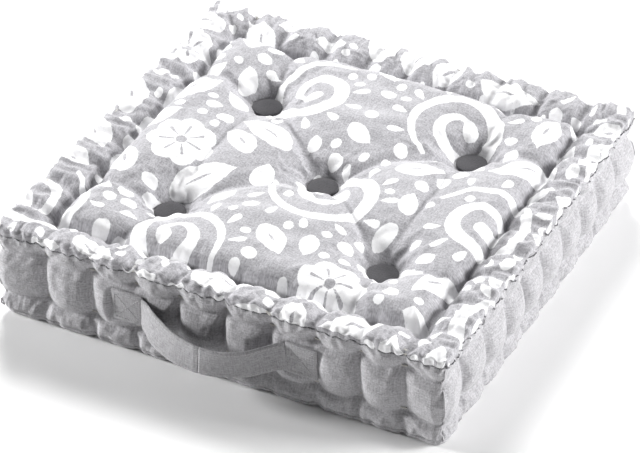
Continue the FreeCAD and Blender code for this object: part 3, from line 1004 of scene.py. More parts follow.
@dataclass
class Pattern:
    """Scrolls, leaves, drops and dots, as a signed distance from the nearest edge of the ink."""

    half_length: float
    half_width: float
    seed: int = 12
    strokes: list[tuple[float, ...]] = field(default_factory=list)
    clear: list[tuple[float, ...]] = field(default_factory=list)

    def stroke(self, points: np.ndarray, widths: np.ndarray, clear: bool = False) -> None:
        """Add one brush stroke.

        Args:
            points: Its line, in metres.
            widths: Half its width at each point.
            clear: True to wipe ink away instead.
        """
        target = self.clear if clear else self.strokes
        for (start, end), (first, last) in zip(zip(points[:-1], points[1:]), zip(widths[:-1], widths[1:])):
            target.append((start[0], start[1], end[0], end[1], first, last))

    def drop(self, x: float, y: float, turn: float, length: float, width: float) -> None:
        """Add one drop that is thin at its start.

        Args:
            x: Place of its start.
            y: Place of its start.
            turn: Direction, in radians.
            length: Its length.
            width: Half its greatest width.
        """
        share = np.linspace(0, 1, 4)[:, None]
        reach = np.array([[math.cos(turn), math.sin(turn)]]) * length
        self.stroke(np.array([[x, y]]) + share * reach, width * np.array([0.18, 0.62, 0.95, 1.0]))

    def leaf(self, x: float, y: float, turn: float, length: float, width: float, bend: float) -> None:
        """Add one leaf with a bend and a clear midrib.

        Args:
            x: Place of its start.
            y: Place of its start.
            turn: Direction of its middle, in radians.
            length: Its length.
            width: Half its greatest width.
            bend: How far it turns from end to end, in radians.
        """
        share = np.linspace(0, 1, 9)
        turns = turn + bend * (share - 0.5)
        steps = np.stack([np.cos(turns), np.sin(turns)], axis=1) * length / 8
        line = np.array([x, y]) + np.cumsum(steps, axis=0) - steps[0]
        self.stroke(line, width * np.maximum(np.sin(np.pi * share ** 0.8), 0.06))
        if width > 11 * MM:
            self.stroke(line[2:6], np.array([0.4, 1.5, 1.5, 0.4]) * MM, clear=True)

    def bloom(self, x: float, y: float, size: float, petals: int, turn: float) -> None:
        """Add one flower of round petals about a clear eye.

        Args:
            x: Place of its middle.
            y: Place of its middle.
            size: Its radius.
            petals: How many petals.
            turn: Direction of the first petal, in radians.
        """
        for number in range(petals):
            angle = turn + 2 * math.pi * number / petals
            tip = np.array([x + math.cos(angle) * size * 0.62, y + math.sin(angle) * size * 0.62])
            self.stroke(np.array([[x, y], tip]), np.array([0.28, 0.4]) * size)
            inner = np.array([x, y]) * 0.65 + tip * 0.35
            self.stroke(np.array([inner, tip]), np.array([0.8, 1.7]) * MM, clear=True)
        self.stroke(np.array([[x, y], [x + 1e-4, y]]), np.full(2, size * 0.16), clear=True)

    def scroll(self, x: float, y: float, size: float, turn: float, hand: int, comb: bool) -> None:
        """Add one scroll: a stem that curls in on itself, with drops along its outer edge.

        Args:
            x: Place of its eye along the length.
            y: Place of its eye along the width.
            size: Radius of the curl.
            turn: Where the curl opens.
            hand: 1 or -1 for the way it winds.
            comb: True for drops along the outside.
        """
        share = np.linspace(0, 1, 40)
        angles = turn + hand * share * 3.3 * math.pi
        radii = size * (1.32 - 1.12 * share ** 0.85)
        line = np.stack([x + radii * np.cos(angles), y + radii * np.sin(angles)], axis=1)
        swell = 7.4 * MM * (0.35 + 0.65 * np.sin(np.pi * np.clip(share * 1.15, 0, 1)))
        swell[-4:] = np.array([5.4, 6.8, 7.6, 7.2]) * MM * size / (40 * MM)
        self.stroke(line, swell)
        if comb:
            for number in range(2, 22, 2):
                out = np.array([math.cos(angles[number]), math.sin(angles[number])])
                base = line[number] + out * (swell[number] + 3.5 * MM)
                lean = angles[number] + hand * 0.35
                self.drop(base[0], base[1], lean, 12 * MM, 4.0 * MM)

    def distance(self, places: np.ndarray, strokes: list[tuple[float, ...]]) -> np.ndarray:
        """Distance from each place to the nearest stroke, less its half width.

        Args:
            places: Places on the flat cloth.
            strokes: The strokes to measure to.

        Returns:
            One distance for each place, negative inside a stroke.
        """
        nearest = np.full(len(places), 1.0)
        for x0, y0, x1, y1, first, last in strokes:
            reach = 30 * MM
            within_x = (places[:, 0] > min(x0, x1) - reach) & (places[:, 0] < max(x0, x1) + reach)
            within_y = (places[:, 1] > min(y0, y1) - reach) & (places[:, 1] < max(y0, y1) + reach)
            near = np.flatnonzero(within_x & within_y)
            run = np.array([x1 - x0, y1 - y0])
            local = places[near] - np.array([x0, y0])
            share = np.clip(local @ run / max(run @ run, 1e-12), 0, 1)
            away = np.hypot(*(local - share[:, None] * run).T) - (first + (last - first) * share)
            nearest[near] = np.minimum(nearest[near], away)
        return nearest

    def free(self, spots: np.ndarray, reach: float) -> bool:
        """Whether every spot is clear of every stroke laid so far.

        Args:
            spots: Places on the flat cloth.
            reach: The clearance wanted.

        Returns:
            True where all are clear.
        """
        laid = np.array(self.strokes)
        start, run = laid[:, :2], laid[:, 2:4] - laid[:, :2]
        local = spots[:, None, :] - start[None, :, :]
        share = np.clip((local * run).sum(-1) / np.maximum((run * run).sum(-1), 1e-12), 0, 1)
        half_widths = laid[:, 4] + (laid[:, 5] - laid[:, 4]) * share
        away = np.linalg.norm(local - share[..., None] * run, axis=-1) - half_widths
        return bool(away.min() > reach)

    def compose(self) -> None:
        """Lay the scrolls in staggered rows, then fill what is left with smaller and smaller motifs."""
        draw = np.random.default_rng(self.seed)
        pitch_x, pitch_y = 158 * MM, 138 * MM
        for row in range(-3, 4):
            for column in range(-3, 4):
                x = (column + 0.5 * (row % 2)) * pitch_x + draw.uniform(-9, 9) * MM + 14 * MM
                y = row * pitch_y + draw.uniform(-8, 8) * MM - 22 * MM
                if abs(x) < self.half_length + 30 * MM and abs(y) < self.half_width + 30 * MM:
                    if (row + column) % 3 == 2:
                        self.bloom(x, y, draw.uniform(29, 34) * MM, 7, draw.uniform(0, 1))
                    else:
                        hand = 1 if (row + column) % 2 == 0 else -1
                        self.scroll(x, y, draw.uniform(37, 44) * MM, draw.uniform(0, 6.3), hand, True)
        for length, width, gap, tries in ((62, 16, 29, 700), (46, 12.5, 23, 900), (30, 9, 18, 900),
                                          (9, 6.5, 15, 900), (4, 4.6, 11.5, 900)):
            for _ in range(tries):
                x = draw.uniform(-self.half_length, self.half_length)
                y = draw.uniform(-self.half_width, self.half_width)
                turn, bend = draw.uniform(0, 6.3), draw.uniform(-1.3, 1.3)
                steps = np.linspace(-0.5, 0.5, 4) * length * MM
                way = np.array([math.cos(turn), math.sin(turn)])
                if self.free(np.array([x, y]) + steps[:, None] * way, gap * MM * 0.62):
                    start_x = x - math.cos(turn) * length * MM / 2
                    start_y = y - math.sin(turn) * length * MM / 2
                    if length > 12:
                        self.leaf(start_x, start_y, turn, length * MM, width * MM, bend)
                    else:
                        self.drop(start_x, start_y, turn, length * MM, width * MM)

    def ink(self, places: np.ndarray) -> np.ndarray:
        """How far inside the ink each place lies, in millimetres.

        Args:
            places: Places on the flat cloth.

        Returns:
            One depth for each place, negative outside the ink.
        """
        laid = self.distance(places, self.strokes)
        wiped = self.distance(places, self.clear)
        return np.clip(-np.maximum(laid, -wiped) / MM, -8, 8)


@dataclass
class Panels:
    """The shell, parted at its seams into the panels of the cover, and the filling inside."""

    form: Form
    cover: Cover
    finishes: Finishes
    seam_pinch: float = 1.3 * MM
    cloth_thickness: float = 0.8 * MM
    points: np.ndarray = field(default=None)
    normals: np.ndarray = field(default=None)

    def pinch(self, shell: bpy.types.Object) -> None:
        """Sink the cloth along the seams, where the stitching pulls it tight.

        Args:
            shell: The cover's lattice.
        """
        f = self.form
        mesh = shell.data
        count = len(mesh.vertices)
        points, normals = np.empty(count * 3), np.empty(count * 3)
        mesh.vertices.foreach_get("co", points)
        mesh.vertices.foreach_get("normal", normals)
        points, normals = points.reshape(-1, 3), normals.reshape(-1, 3)
        x, y, z = self.cover.flat.T
        ends = np.abs(np.abs(x) - f.half_length) < 1e-6
        faces = np.abs(np.abs(y) - f.half_width) < 1e-6
        top = np.abs(z - f.top_seam) < 1e-6
        foot = np.abs(z - f.bottom_seam) < 1e-6
        seam = (top & (ends | faces)) | (foot & (ends | faces))
        points[seam] -= normals[seam] * self.seam_pinch
        corner = ends & faces & ~seam
        points[corner] += normals[corner] * 1.1 * MM
        points[:, 1] += f.centre_y
        points[:, 2] = np.maximum(points[:, 2], 0)
        mesh.vertices.foreach_set("co", points.ravel())
        mesh.update()
        self.points = points
        renewed = np.empty(count * 3)
        mesh.vertices.foreach_get("normal", renewed)
        self.normals = renewed.reshape(-1, 3)

    def nearest(self, x: float, y: float, z: float) -> tuple[Vector, Vector]:
        """Point and normal of the shell at a place on the box it was cut from.

        Args:
            x: The place.
            y: The place.
            z: The place.

        Returns:
            The nearest point of the lattice, and its normal.
        """
        away = np.abs(self.cover.flat - np.array([x, y, z])).sum(axis=1)
        found = int(away.argmin())
        return Vector(self.points[found]), Vector(self.normals[found])

    def cloth_place(self, flat: np.ndarray, label: Side) -> np.ndarray:
        """Flat coordinates of one panel's cloth.

        Args:
            flat: Places on the box that the shell was cut from.
            label: The panel.

        Returns:
            Places on the panel laid flat.
        """
        x, y, z = flat.T
        if label in (Side.FRONT, Side.BACK):
            return np.stack([x, z], axis=1)
        if label in (Side.LEFT, Side.RIGHT):
            return np.stack([y, z], axis=1)
        if label is Side.BOTTOM:
            return np.stack([x, y], axis=1)
        f = self.form
        run = np.linspace(0, f.roll_width, 80)
        rise = f.height - 14 * MM + 12 * MM * np.sin(np.pi * run / f.roll_width)
        arc = np.concatenate([[0], np.cumsum(np.hypot(np.diff(run), np.diff(rise)))]) * 1.12

        def spread(place: np.ndarray, half: float) -> np.ndarray:
            """Let out the cloth that the roll takes up.

            Args:
                place: Distances from the middle of the box.
                half: Half the box on that axis.

            Returns:
                Distances on the flat cloth.
            """
            outside = np.clip(np.abs(place) - (half - f.roll_width), 0, f.roll_width)
            on_field = np.minimum(np.abs(place), half - f.roll_width)
            return np.sign(place) * (on_field + np.interp(outside, run, arc))

        return np.stack([spread(x, f.half_length), spread(y, f.half_width)], axis=1)

    def part(self, shell: bpy.types.Object) -> None:
        """Subdivide the shell once, part it at the seams, and dress each panel.

        Args:
            shell: The cover's lattice.
        """
        flat = shell.data.attributes.new("flat", "FLOAT_VECTOR", "POINT")
        flat.data.foreach_set("vector", self.cover.flat.astype(np.float32).ravel())
        label = shell.data.attributes.new("label", "INT", "FACE")
        label.data.foreach_set("value", self.cover.labels.astype(np.int32))
        self.make_filling(shell)
        deselect()
        bpy.context.view_layer.objects.active = shell
        shell.select_set(True)
        modifier = shell.modifiers.new("Subdivision", "SUBSURF")
        modifier.levels = modifier.render_levels = 1
        bpy.ops.object.modifier_apply(modifier=modifier.name)
        mesh = shell.data
        points = np.empty(len(mesh.vertices) * 3)
        mesh.vertices.foreach_get("co", points)
        points = points.reshape(-1, 3)
        flat_now = np.empty(len(mesh.vertices) * 3, dtype=np.float32)
        mesh.attributes["flat"].data.foreach_get("vector", flat_now)
        flat_now = flat_now.reshape(-1, 3)
        labels = np.empty(len(mesh.polygons), dtype=np.int32)
        mesh.attributes["label"].data.foreach_get("value", labels)
        corners = np.empty(len(mesh.loops), dtype=np.int32)
        mesh.loops.foreach_get("vertex_index", corners)
        quads = corners.reshape(-1, 4)
        names = {Side.TOP: "top_panel", Side.BOTTOM: "bottom_panel", Side.FRONT: "side_panel_front",
                 Side.RIGHT: "side_panel_right", Side.BACK: "side_panel_back", Side.LEFT: "side_panel_left"}
        for side, name in names.items():
            mine = quads[labels == side.value]
            used, renumbered = np.unique(mine, return_inverse=True)
            panel = link_mesh(name + "_cover", points[used], renumbered.reshape(-1, 4).tolist())
            panel.data.shade_smooth()
            place = self.cloth_place(flat_now[used].astype(float), side)
            lay_cloth(panel, place)
            if side is Side.TOP:
                pattern = Pattern(np.abs(place[:, 0]).max(), np.abs(place[:, 1]).max())
                pattern.compose()
                ink = panel.data.attributes.new("print", "FLOAT", "POINT")
                ink.data.foreach_set("value", pattern.ink(place).astype(np.float32))
            panel.data.materials.append(self.finishes.printed if side is Side.TOP else self.finishes.plain)
            wall = panel.modifiers.new("Cloth thickness", "SOLIDIFY")
            wall.thickness = self.cloth_thickness
            wall.offset = -1
            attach(panel, "cushion")
            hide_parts(name)
            LOG.info("%s: %d faces", panel.name, len(mine))
        bpy.data.objects.remove(shell)

    def make_filling(self, shell: bpy.types.Object) -> None:
        """Make the wadding as the shell's inside, one cloth thickness and a little air smaller.

        Args:
            shell: The cover's lattice.
        """
        mesh = shell.data
        quads = [list(face.vertices) for face in mesh.polygons]
        filling = link_mesh("filling_wadding", self.points - self.normals * 2.6 * MM, quads)
        filling.data.shade_smooth()
        filling.data.materials.append(self.finishes.wadding)
        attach(filling, "cushion")
        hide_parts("filling")


def tube(
    name: str, path: np.ndarray, radius: float, sides: int = 8, closed: bool = False
) -> bpy.types.Object:
    """Make a round thread along a path.

    Args:
        name: Its name.
        path: One row of three coordinates for each point.
        radius: Radius of the thread.
        sides: Sides of its section.
        closed: True when the path is a ring.

    Returns:
        The thread.
    """
    ahead = np.roll(path, -1, axis=0) - np.roll(path, 1, axis=0)
    if not closed:
        ahead[0], ahead[-1] = path[1] - path[0], path[-1] - path[-2]
    ahead /= np.linalg.norm(ahead, axis=1)[:, None]
    reference = np.array([0.31, 0.22, 1.0]) if abs(ahead[:, 2]).max() < 0.9 else np.array([0.7, 0.7, 0.05])
    first = np.cross(ahead, reference)
    first /= np.linalg.norm(first, axis=1)[:, None]
    second = np.cross(ahead, first)
    turns = np.linspace(0, 2 * np.pi, sides, endpoint=False)
    rings = (path[:, None, :] + radius * (np.cos(turns)[None, :, None] * first[:, None, :]
                                          + np.sin(turns)[None, :, None] * second[:, None, :]))
    faces = []
    count = len(path)
    for ring in range(count if closed else count - 1):
        after = (ring + 1) % count
        for side in range(sides):
            beside = (side + 1) % sides
            here, beyond = ring * sides, after * sides
            faces.append([here + side, here + beside, beyond + beside, beyond + side])
    if not closed:
        faces.append(list(range(sides))[::-1])
        faces.append([(count - 1) * sides + side for side in range(sides)])
    thread = link_mesh(name, rings.reshape(-1, 3), faces)
    thread.data.shade_smooth()
    return thread


@dataclass
class Stitch:
    """One machine or hand stitch, modelled at the origin along X and raised along Z."""

    length: float
    thickness: float
    rings: int = 5
    segments: int = 8

    def model(self) -> bpy.types.Object:
        """Model the stitch as a bead drawn out along its length.

        Returns:
            The pattern to be copied.
        """
        deselect()
        bpy.ops.mesh.primitive_uv_sphere_add(segments=self.segments, ring_count=self.rings, radius=0.5)
        bpy.ops.object.mode_set(mode="EDIT")
        bpy.ops.transform.rotate(value=math.pi / 2, orient_axis="Y", center_override=(0, 0, 0))
        bpy.ops.transform.resize(value=(self.length, self.thickness, self.thickness))
        bpy.ops.object.mode_set(mode="OBJECT")
        return bpy.context.object


@dataclass
class Buttons:
    """The covered buttons of the five tufts, above and below, and the twine between them."""

    form: Form
    finishes: Finishes
    rim: float = 1.3 * MM

    def model(self, name: str, node: str, upwards: bool) -> bpy.types.Object:
        """Model one covered button at the place of its frame node.

        Args:
            name: Name of the piece.
            node: The node that it stands for.
            upwards: True for the buttons of the top.

        Returns:
            The button.
        """
        low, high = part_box(node)
        radius, depth = (high[0] - low[0]) / 2, high[2] - low[2]
        middle = (low + high) / 2
        deselect()
        bpy.ops.mesh.primitive_cylinder_add(vertices=40, radius=radius - 0.2 * MM, depth=depth - 0.6 * MM,
                                            location=middle)
        button = bpy.context.object
        button.name = name
        bpy.ops.object.transform_apply(location=True, rotation=False, scale=False)
        way = 1 if upwards else -1
        bpy.ops.object.mode_set(mode="EDIT")
        bpy.ops.mesh.select_mode(type="FACE")
        bpy.ops.mesh.select_all(action="DESELECT")
        bpy.ops.object.mode_set(mode="OBJECT")
        for face in button.data.polygons:
            face.select = face.normal.z * way > 0.9
        bpy.ops.object.mode_set(mode="EDIT")
        for inset, rise in ((self.rim, 0.35 * MM), (2.2 * MM, 0.35 * MM),
                            (3.2 * MM, 0.15 * MM), (4 * MM, -0.1 * MM)):
            bpy.ops.mesh.inset(thickness=inset, depth=0)
            bpy.ops.transform.translate(value=(0, 0, way * rise))
        bpy.ops.object.mode_set(mode="OBJECT")
        bevel = button.modifiers.new("Rounded rim", "BEVEL")
        bevel.width = 0.9 * MM
        bevel.segments = 3
        bevel.limit_method = "ANGLE"
        bevel.angle_limit = math.radians(50)
        bpy.ops.object.modifier_apply(modifier=bevel.name)
        button.data.shade_smooth()
        points = np.array([tuple(v.co) for v in button.data.vertices])
        for layer in list(button.data.uv_layers):
            button.data.uv_layers.remove(layer)
        lay_cloth(button, points[:, :2] + points[:, 2:] * np.array([[0.7, 0.7]]))
        button.data.materials.append(self.finishes.button)
        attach(button, "cushion")
        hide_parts(node)
        return button

    def build(self, nodes: dict) -> None:
        """Model the ten buttons and dress the twines.

        Args:
            nodes: The CAD nodes, by name.
        """
        for place in TUFTS:
            self.model(f"button_top_{place}", f"tuft_button_top_{place}", True)
            self.model(f"button_bottom_{place}", f"tuft_button_bottom_{place}", False)
            twine = nodes[f"tuft_twine_{place}"]
            twine.data.materials.clear()
            twine.data.materials.append(self.finishes.twine)
            LOG.info("buttons and twine of the %s tuft", place)


@dataclass
class Stitching:
    """The side stitches and the seams of the cover."""

    form: Form
    panels: Panels
    finishes: Finishes
    seam_pitch: float = 3.9 * MM
    side_names: dict = field(default_factory=lambda: {Side.FRONT: "front", Side.RIGHT: "right",
                                                      Side.BACK: "back", Side.LEFT: "left"})

    def model_loop(self) -> bpy.types.Object:
        """Model one side stitch: a loop of twine that comes out of the cloth and goes back in.

        Returns:
            The pattern, with its feet along X and its crown along Z.
        """
        deselect()
        bpy.ops.mesh.primitive_torus_add(major_radius=3.2 * MM, minor_radius=0.7 * MM, major_segments=20,
                                         minor_segments=8, rotation=(math.pi / 2, 0, 0))
        loop = bpy.context.object
        bpy.ops.object.transform_apply(location=False, rotation=True, scale=False)
        bpy.ops.object.mode_set(mode="EDIT")
        bpy.ops.mesh.select_all(action="SELECT")
        bpy.ops.mesh.bisect(plane_co=(0, 0, -0.8 * MM), plane_no=(0, 0, 1), clear_inner=True, use_fill=True)
        bpy.ops.mesh.select_all(action="SELECT")
        bpy.ops.transform.resize(value=(1, 1, 0.42))
        bpy.ops.mesh.normals_make_consistent(inside=False)
        bpy.ops.object.mode_set(mode="OBJECT")
        return loop

    def side_rows(self) -> None:
        """Sew the upper and lower rows of each side."""
        f = self.form
        for side, name in self.side_names.items():
            lengthways = side in (Side.FRONT, Side.BACK)
            sign = -1 if side in (Side.FRONT, Side.LEFT) else 1
            for level_name, level in (("upper", f.upper_stitch), ("lower", f.lower_stitch)):
                places = []
                for place in f.stitch_places(side):
                    if lengthways:
                        spot = (place, sign * f.half_width, level)
                    else:
                        spot = (sign * f.half_length, place, level)
                    point, _ = self.panels.nearest(*spot)
                    out = Vector((0, sign, 0)) if lengthways else Vector((sign, 0, 0))
                    along = Vector((1, 0, 0)) if lengthways else Vector((0, 1, 0))
                    places.append(facing(point + out * 0.3 * MM, along, out))
                row = repeat_mesh(f"stitch_row_{level_name}_{name}", self.model_loop(), places)
                row.data.materials.append(self.finishes.twine)
                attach(row, "cushion")
                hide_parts(f"side_stitches_{level_name}_{name}")
        LOG.info("side stitches sewn")

    def rim(self, height: float) -> tuple[np.ndarray, np.ndarray]:
        """Points and normals of the shell right round one seam, in order.

        Args:
            height: Height of the seam on the box.

        Returns:
            Points and normals.
        """
        f = self.form
        x, y, z = self.panels.cover.flat.T
        near = np.abs(z - height) < 1e-6
        ends, faces = np.abs(np.abs(x) - f.half_length) < 1e-6, np.abs(np.abs(y) - f.half_width) < 1e-6
        found = np.flatnonzero(near & (ends | faces))
        front = y[found] < -f.half_width + 1e-6
        right = (x[found] > f.half_length - 1e-6) & ~front
        back = (y[found] > f.half_width - 1e-6) & ~right
        left = ~front & ~right & ~back
        order = np.select([front, right, back, left], [x[found], 10 + y[found], 20 - x[found], 30 - y[found]])
        found = found[np.argsort(order)]
        return self.panels.points[found], self.panels.normals[found]

    def seam(self, name: str, node: str, height: float) -> None:
        """Run a seam right round the cover, with slanting stitches over its thread.

        Args:
            name: Name of the thread's piece.
            node: The CAD node that it stands for.
            height: Height of the seam.
        """
        points, normals = self.rim(height)
        points = points + normals * 0.15 * MM
        # the top seam gets the dark thread, which paints the shade in its groove; the bottom seam gets the
        # grey thread
        finish = self.finishes.seam if node == "top_seam_thread" else self.finishes.plain_thread
        thread = tube(name, points, 0.45 * MM, closed=True)
        thread.data.materials.append(finish)
        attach(thread, "cushion")
        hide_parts(node)
        steps = np.linalg.norm(np.roll(points, -1, axis=0) - points, axis=1)
        reach = np.concatenate([[0], np.cumsum(steps)])
        places = []
        for distance in np.arange(0, reach[-1], self.seam_pitch):
            number = min(int(np.searchsorted(reach, distance, side="right")) - 1, len(points) - 1)
            after = (number + 1) % len(points)
            share = (distance - reach[number]) / max(steps[number], 1e-9)
            point = Vector(points[number] * (1 - share) + points[after] * share)
            out = Vector(normals[number] * (1 - share) + normals[after] * share)
            along = Vector(points[after] - points[number]).normalized()
            lean = along + out.cross(along).normalized() * 0.9
            places.append(facing(point + out * 0.35 * MM, lean, out))
        row = repeat_mesh(name + "_stitches", Stitch(2.6 * MM, 0.6 * MM, 4, 6).model(), places)
        row.data.materials.append(finish)
        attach(row, "cushion")
        LOG.info("%s: %d stitches", name, len(places))

    def corners(self) -> None:
        """Raise the turned-in allowance of the four corner seams."""
        f = self.form
        x, y, z = self.panels.cover.flat.T
        for name, sign_x, sign_y in (("front_left", -1, -1), ("front_right", 1, -1),
                                     ("back_right", 1, 1), ("back_left", -1, 1)):
            found = np.flatnonzero((np.abs(x - sign_x * f.half_length) < 1e-6)
                                   & (np.abs(y - sign_y * f.half_width) < 1e-6))
            found = found[np.argsort(z[found])][1:-1]
            path = self.panels.points[found] + self.panels.normals[found] * 0.2 * MM
            welt = tube(f"corner_seam_{name}", path, 0.75 * MM)
            welt.data.materials.append(self.finishes.thread)
            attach(welt, "cushion")
            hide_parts(f"corner_seam_thread_{name}")

    def build(self) -> None:
        """Sew everything."""
        self.side_rows()
        self.seam("top_seam", "top_seam_thread", self.form.top_seam)
        self.seam("bottom_seam", "bottom_seam_thread", self.form.bottom_seam)
        self.corners()


@dataclass
class Handle:
    """The carrying strap, in two halves that bend where it lands on its sewn squares."""

    finishes: Finishes
    width: float = 30 * MM
    thickness: float = 1.7 * MM
    hem: float = 3.2 * MM
    stitch_pitch: float = 3.1 * MM
    fold_at: float = -5 * MM
    # places along the strap: across the front, out from it, and the height of its middle line
    landing_y: float = -199.2 * MM
    reach_y: float = -227.0 * MM

    def route(self) -> tuple[np.ndarray, np.ndarray]:
        """Middle line of the strap from left to right, with a sharp fold left of its middle.

        Returns:
            Points, and how far each one leans back from upright, in radians.
        """
        left, right, out, near = -71.5, 71.5, self.reach_y / MM, self.landing_y / MM
        before = [(left, near, 53, 0.0), (-65, near - 4.5, 52.0, 0.1), (-50, near - 15, 49.0, 0.2),
                  (-28, near - 24, 45.5, 0.12), (self.fold_at / MM, out, 43.4, 0.0)]
        after = [(self.fold_at / MM, out, 43.4, 0.0), (10, out + 1.2, 42.8, -0.06),
                 (24, out + 4.0, 43.6, -0.1), (40, out + 10.0, 45.8, -0.1),
                 (55, out + 19.0, 49.6, -0.06), (64, near - 2.8, 52.0, -0.02),
                 (right, near, 53, 0.0)]
        pieces = [self.spline(np.array(part)) for part in (before, after)]
        whole = np.concatenate([pieces[0], pieces[1][1:]])
        return whole[:, :3] * MM, whole[:, 3]

    def spline(self, knots: np.ndarray) -> np.ndarray:
        """Pass a smooth line through knots.

        Args:
            knots: One row for each knot.

        Returns:
            Many rows along the line.
        """
        padded = np.concatenate([2 * knots[:1] - knots[1:2], knots, 2 * knots[-1:] - knots[-2:-1]])
        line = []
        for number in range(1, len(padded) - 2):
            a, b, c, d = padded[number - 1:number + 3]
            for share in np.linspace(0, 1, 12, endpoint=False):
                line.append(0.5 * (2 * b + (c - a) * share + (2 * a - 5 * b + 4 * c - d) * share ** 2
                                   + (3 * b - a - 3 * c + d) * share ** 3))
        return np.array(line + [padded[-2]])

    def frames(self) -> tuple[np.ndarray, np.ndarray, np.ndarray, np.ndarray]:
        """Places and directions down the strap.

        Returns:
            Points, directions up the width, directions out of its face, and distances along it.
        """
        points, lean = self.route()
        steps = np.linalg.norm(np.diff(points, axis=0), axis=1)
        reach = np.concatenate([[0], np.cumsum(steps)])
        ahead = np.gradient(points, axis=0)
        ahead /= np.linalg.norm(ahead, axis=1)[:, None]
        out = np.cross(ahead, np.array([0.0, 0.0, 1.0]))
        out /= np.linalg.norm(out, axis=1)[:, None]
        up = np.cross(out, ahead)
        face = out * np.cos(lean)[:, None] + up * np.sin(lean)[:, None]
        rise = up * np.cos(lean)[:, None] - out * np.sin(lean)[:, None]
        return points, rise, face, reach

    def half(self, name: str, keep: slice, replaced: Sequence[str], start: float) -> None:
        """Make one half of the strap with its topstitching.

        Args:
            name: Name of the half.
            keep: Which of the strap's places it covers.
            replaced: The frame's nodes that it stands for.
            start: Place along the front where the strap leaves its sewn square; not used.
        """
        points, rise, face, reach = (values[keep] for values in self.frames())
        across = np.linspace(-0.5, 0.5, 13) * self.width
        edge = np.clip((self.width / 2 - np.abs(across)) / (1.2 * MM), 0, 1)
        swell = 0.5 * self.thickness * (0.35 + 0.65 * np.sqrt(edge)) + 0.25 * MM * np.cos(
            np.clip((np.abs(across) - self.width / 2 + self.hem) / (1.3 * MM), -1.57, 1.57))
        section = [(w, s) for w, s in zip(across, swell)]
        section += [(w, -s) for w, s in zip(across[::-1], swell[::-1])]
        count = len(section)
        rows = np.stack([points + rise * w + face * s for w, s in section], axis=1)
        faces = []
        for row in range(len(points) - 1):
            for number in range(count):
                beside = (number + 1) % count
                faces.append([row * count + number, row * count + beside, (row + 1) * count + beside,
                              (row + 1) * count + number])
        faces.append(list(range(count))[::-1])
        faces.append([(len(points) - 1) * count + number for number in range(count)])
        strap = link_mesh(name, rows.reshape(-1, 3), faces)
        deselect()
        bpy.context.view_layer.objects.active = strap
        strap.select_set(True)
        bpy.ops.object.mode_set(mode="EDIT")
        bpy.ops.mesh.select_all(action="SELECT")
        bpy.ops.mesh.normals_make_consistent(inside=False)
        bpy.ops.object.mode_set(mode="OBJECT")
        strap.data.shade_smooth()
        lay_cloth(strap, np.array([(r, w) for r in reach for w, _ in section]))
        strap.data.materials.append(self.finishes.webbing)
        places = []
        for distance in np.arange(reach[0] + 1 * MM, reach[-1] - 1 * MM, self.stitch_pitch):
            at = [np.array([np.interp(distance, reach, values[:, axis]) for axis in range(3)])
                  for values in (points, rise, face)]
            ahead = distance + 1 * MM
            step = np.array([np.interp(ahead, reach, points[:, axis]) for axis in range(3)]) - at[0]
            for level in (-1, 1):
                for out in (-1, 1):
                    to_hem = at[1] * level * (self.width / 2 - self.hem)
                    spot = at[0] + to_hem + at[2] * out * self.thickness * 0.56
                    places.append(facing(spot, step, at[2] * out))
        sewing = repeat_mesh(name + "_topstitch", Stitch(2.3 * MM, 0.75 * MM, 4, 6).model(), places)
        sewing.data.materials.append(self.finishes.thread)
        for piece, slot in ((strap, "plain_cotton"), (sewing, "sewing_thread")):
            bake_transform(piece)
        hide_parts(*replaced)
        LOG.info("%s: %.0f mm long", name, (reach[-1] - reach[0]) / MM)

    def patch(self, side: str, middle: float) -> None:
        """Sew one end of the strap down with a square and a cross.

        Args:
            side: left or right.
            middle: Place of its middle along the front.
        """
        centre = (middle, self.landing_y + 0.3 * MM, PATCH_HEIGHT)
        deselect()
        bpy.ops.mesh.primitive_cube_add(size=1, location=centre)
        patch = bpy.context.object
        patch.name = f"strap_end_{side}"
        bpy.ops.object.transform_apply(location=True, rotation=False, scale=False)
        bpy.ops.object.mode_set(mode="EDIT")
        bpy.ops.mesh.select_all(action="SELECT")
        bpy.ops.transform.resize(value=(31 * MM, 2.6 * MM, 32 * MM), center_override=centre)
        bpy.ops.mesh.select_mode(type="EDGE")
        bpy.ops.mesh.bevel(offset=1.0 * MM, segments=3)
        bpy.ops.object.mode_set(mode="OBJECT")
        patch.data.shade_smooth()
        for layer in list(patch.data.uv_layers):
            patch.data.uv_layers.remove(layer)
        points = np.array([tuple(v.co) for v in patch.data.vertices])
        lay_cloth(patch, np.stack([points[:, 0] + points[:, 1], points[:, 2]], axis=1))
        patch.data.materials.append(self.finishes.webbing)
        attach(patch, "cushion")
        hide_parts(f"handle_end_{side}")
        front = centre[1] - 1.35 * MM
        half = 12.6 * MM
        lines = [((-half, -half), (half, -half)), ((half, -half), (half, half)),
                 ((half, half), (-half, half)), ((-half, half), (-half, -half)),
                 ((-half, -half), (half, half)), ((-half, half), (half, -half))]
        places = []
        for (x0, z0), (x1, z1) in lines:
            run = math.hypot(x1 - x0, z1 - z0)
            for number in range(int(run / (2.9 * MM))):
                share = (number + 0.5) * 2.9 * MM / run
                spot = (middle + x0 + (x1 - x0) * share, front, 0.053 + z0 + (z1 - z0) * share)
                places.append(facing(spot, (x1 - x0, 0, z1 - z0), (0, -1, 0)))
        sewing = repeat_mesh(f"strap_cross_{side}", Stitch(2.3 * MM, 0.85 * MM, 4, 6).model(), places)
        sewing.data.materials.append(self.finishes.thread)
        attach(sewing, "cushion")
        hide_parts(f"handle_stitch_{side}")

    def build(self) -> None:
        """Make both halves and both sewn squares."""
        points, *_ = self.frames()
        middle = int(np.abs(points[:, 0]).argmin())
        self.half("strap_left", slice(0, middle + 1), ("handle_strap", "handle_twist_left"), -72 * MM)
        self.half("strap_right", slice(middle, None), ("handle_twist_right",), 72 * MM)
        self.patch("left", -86 * MM)
        self.patch("right", 86 * MM)


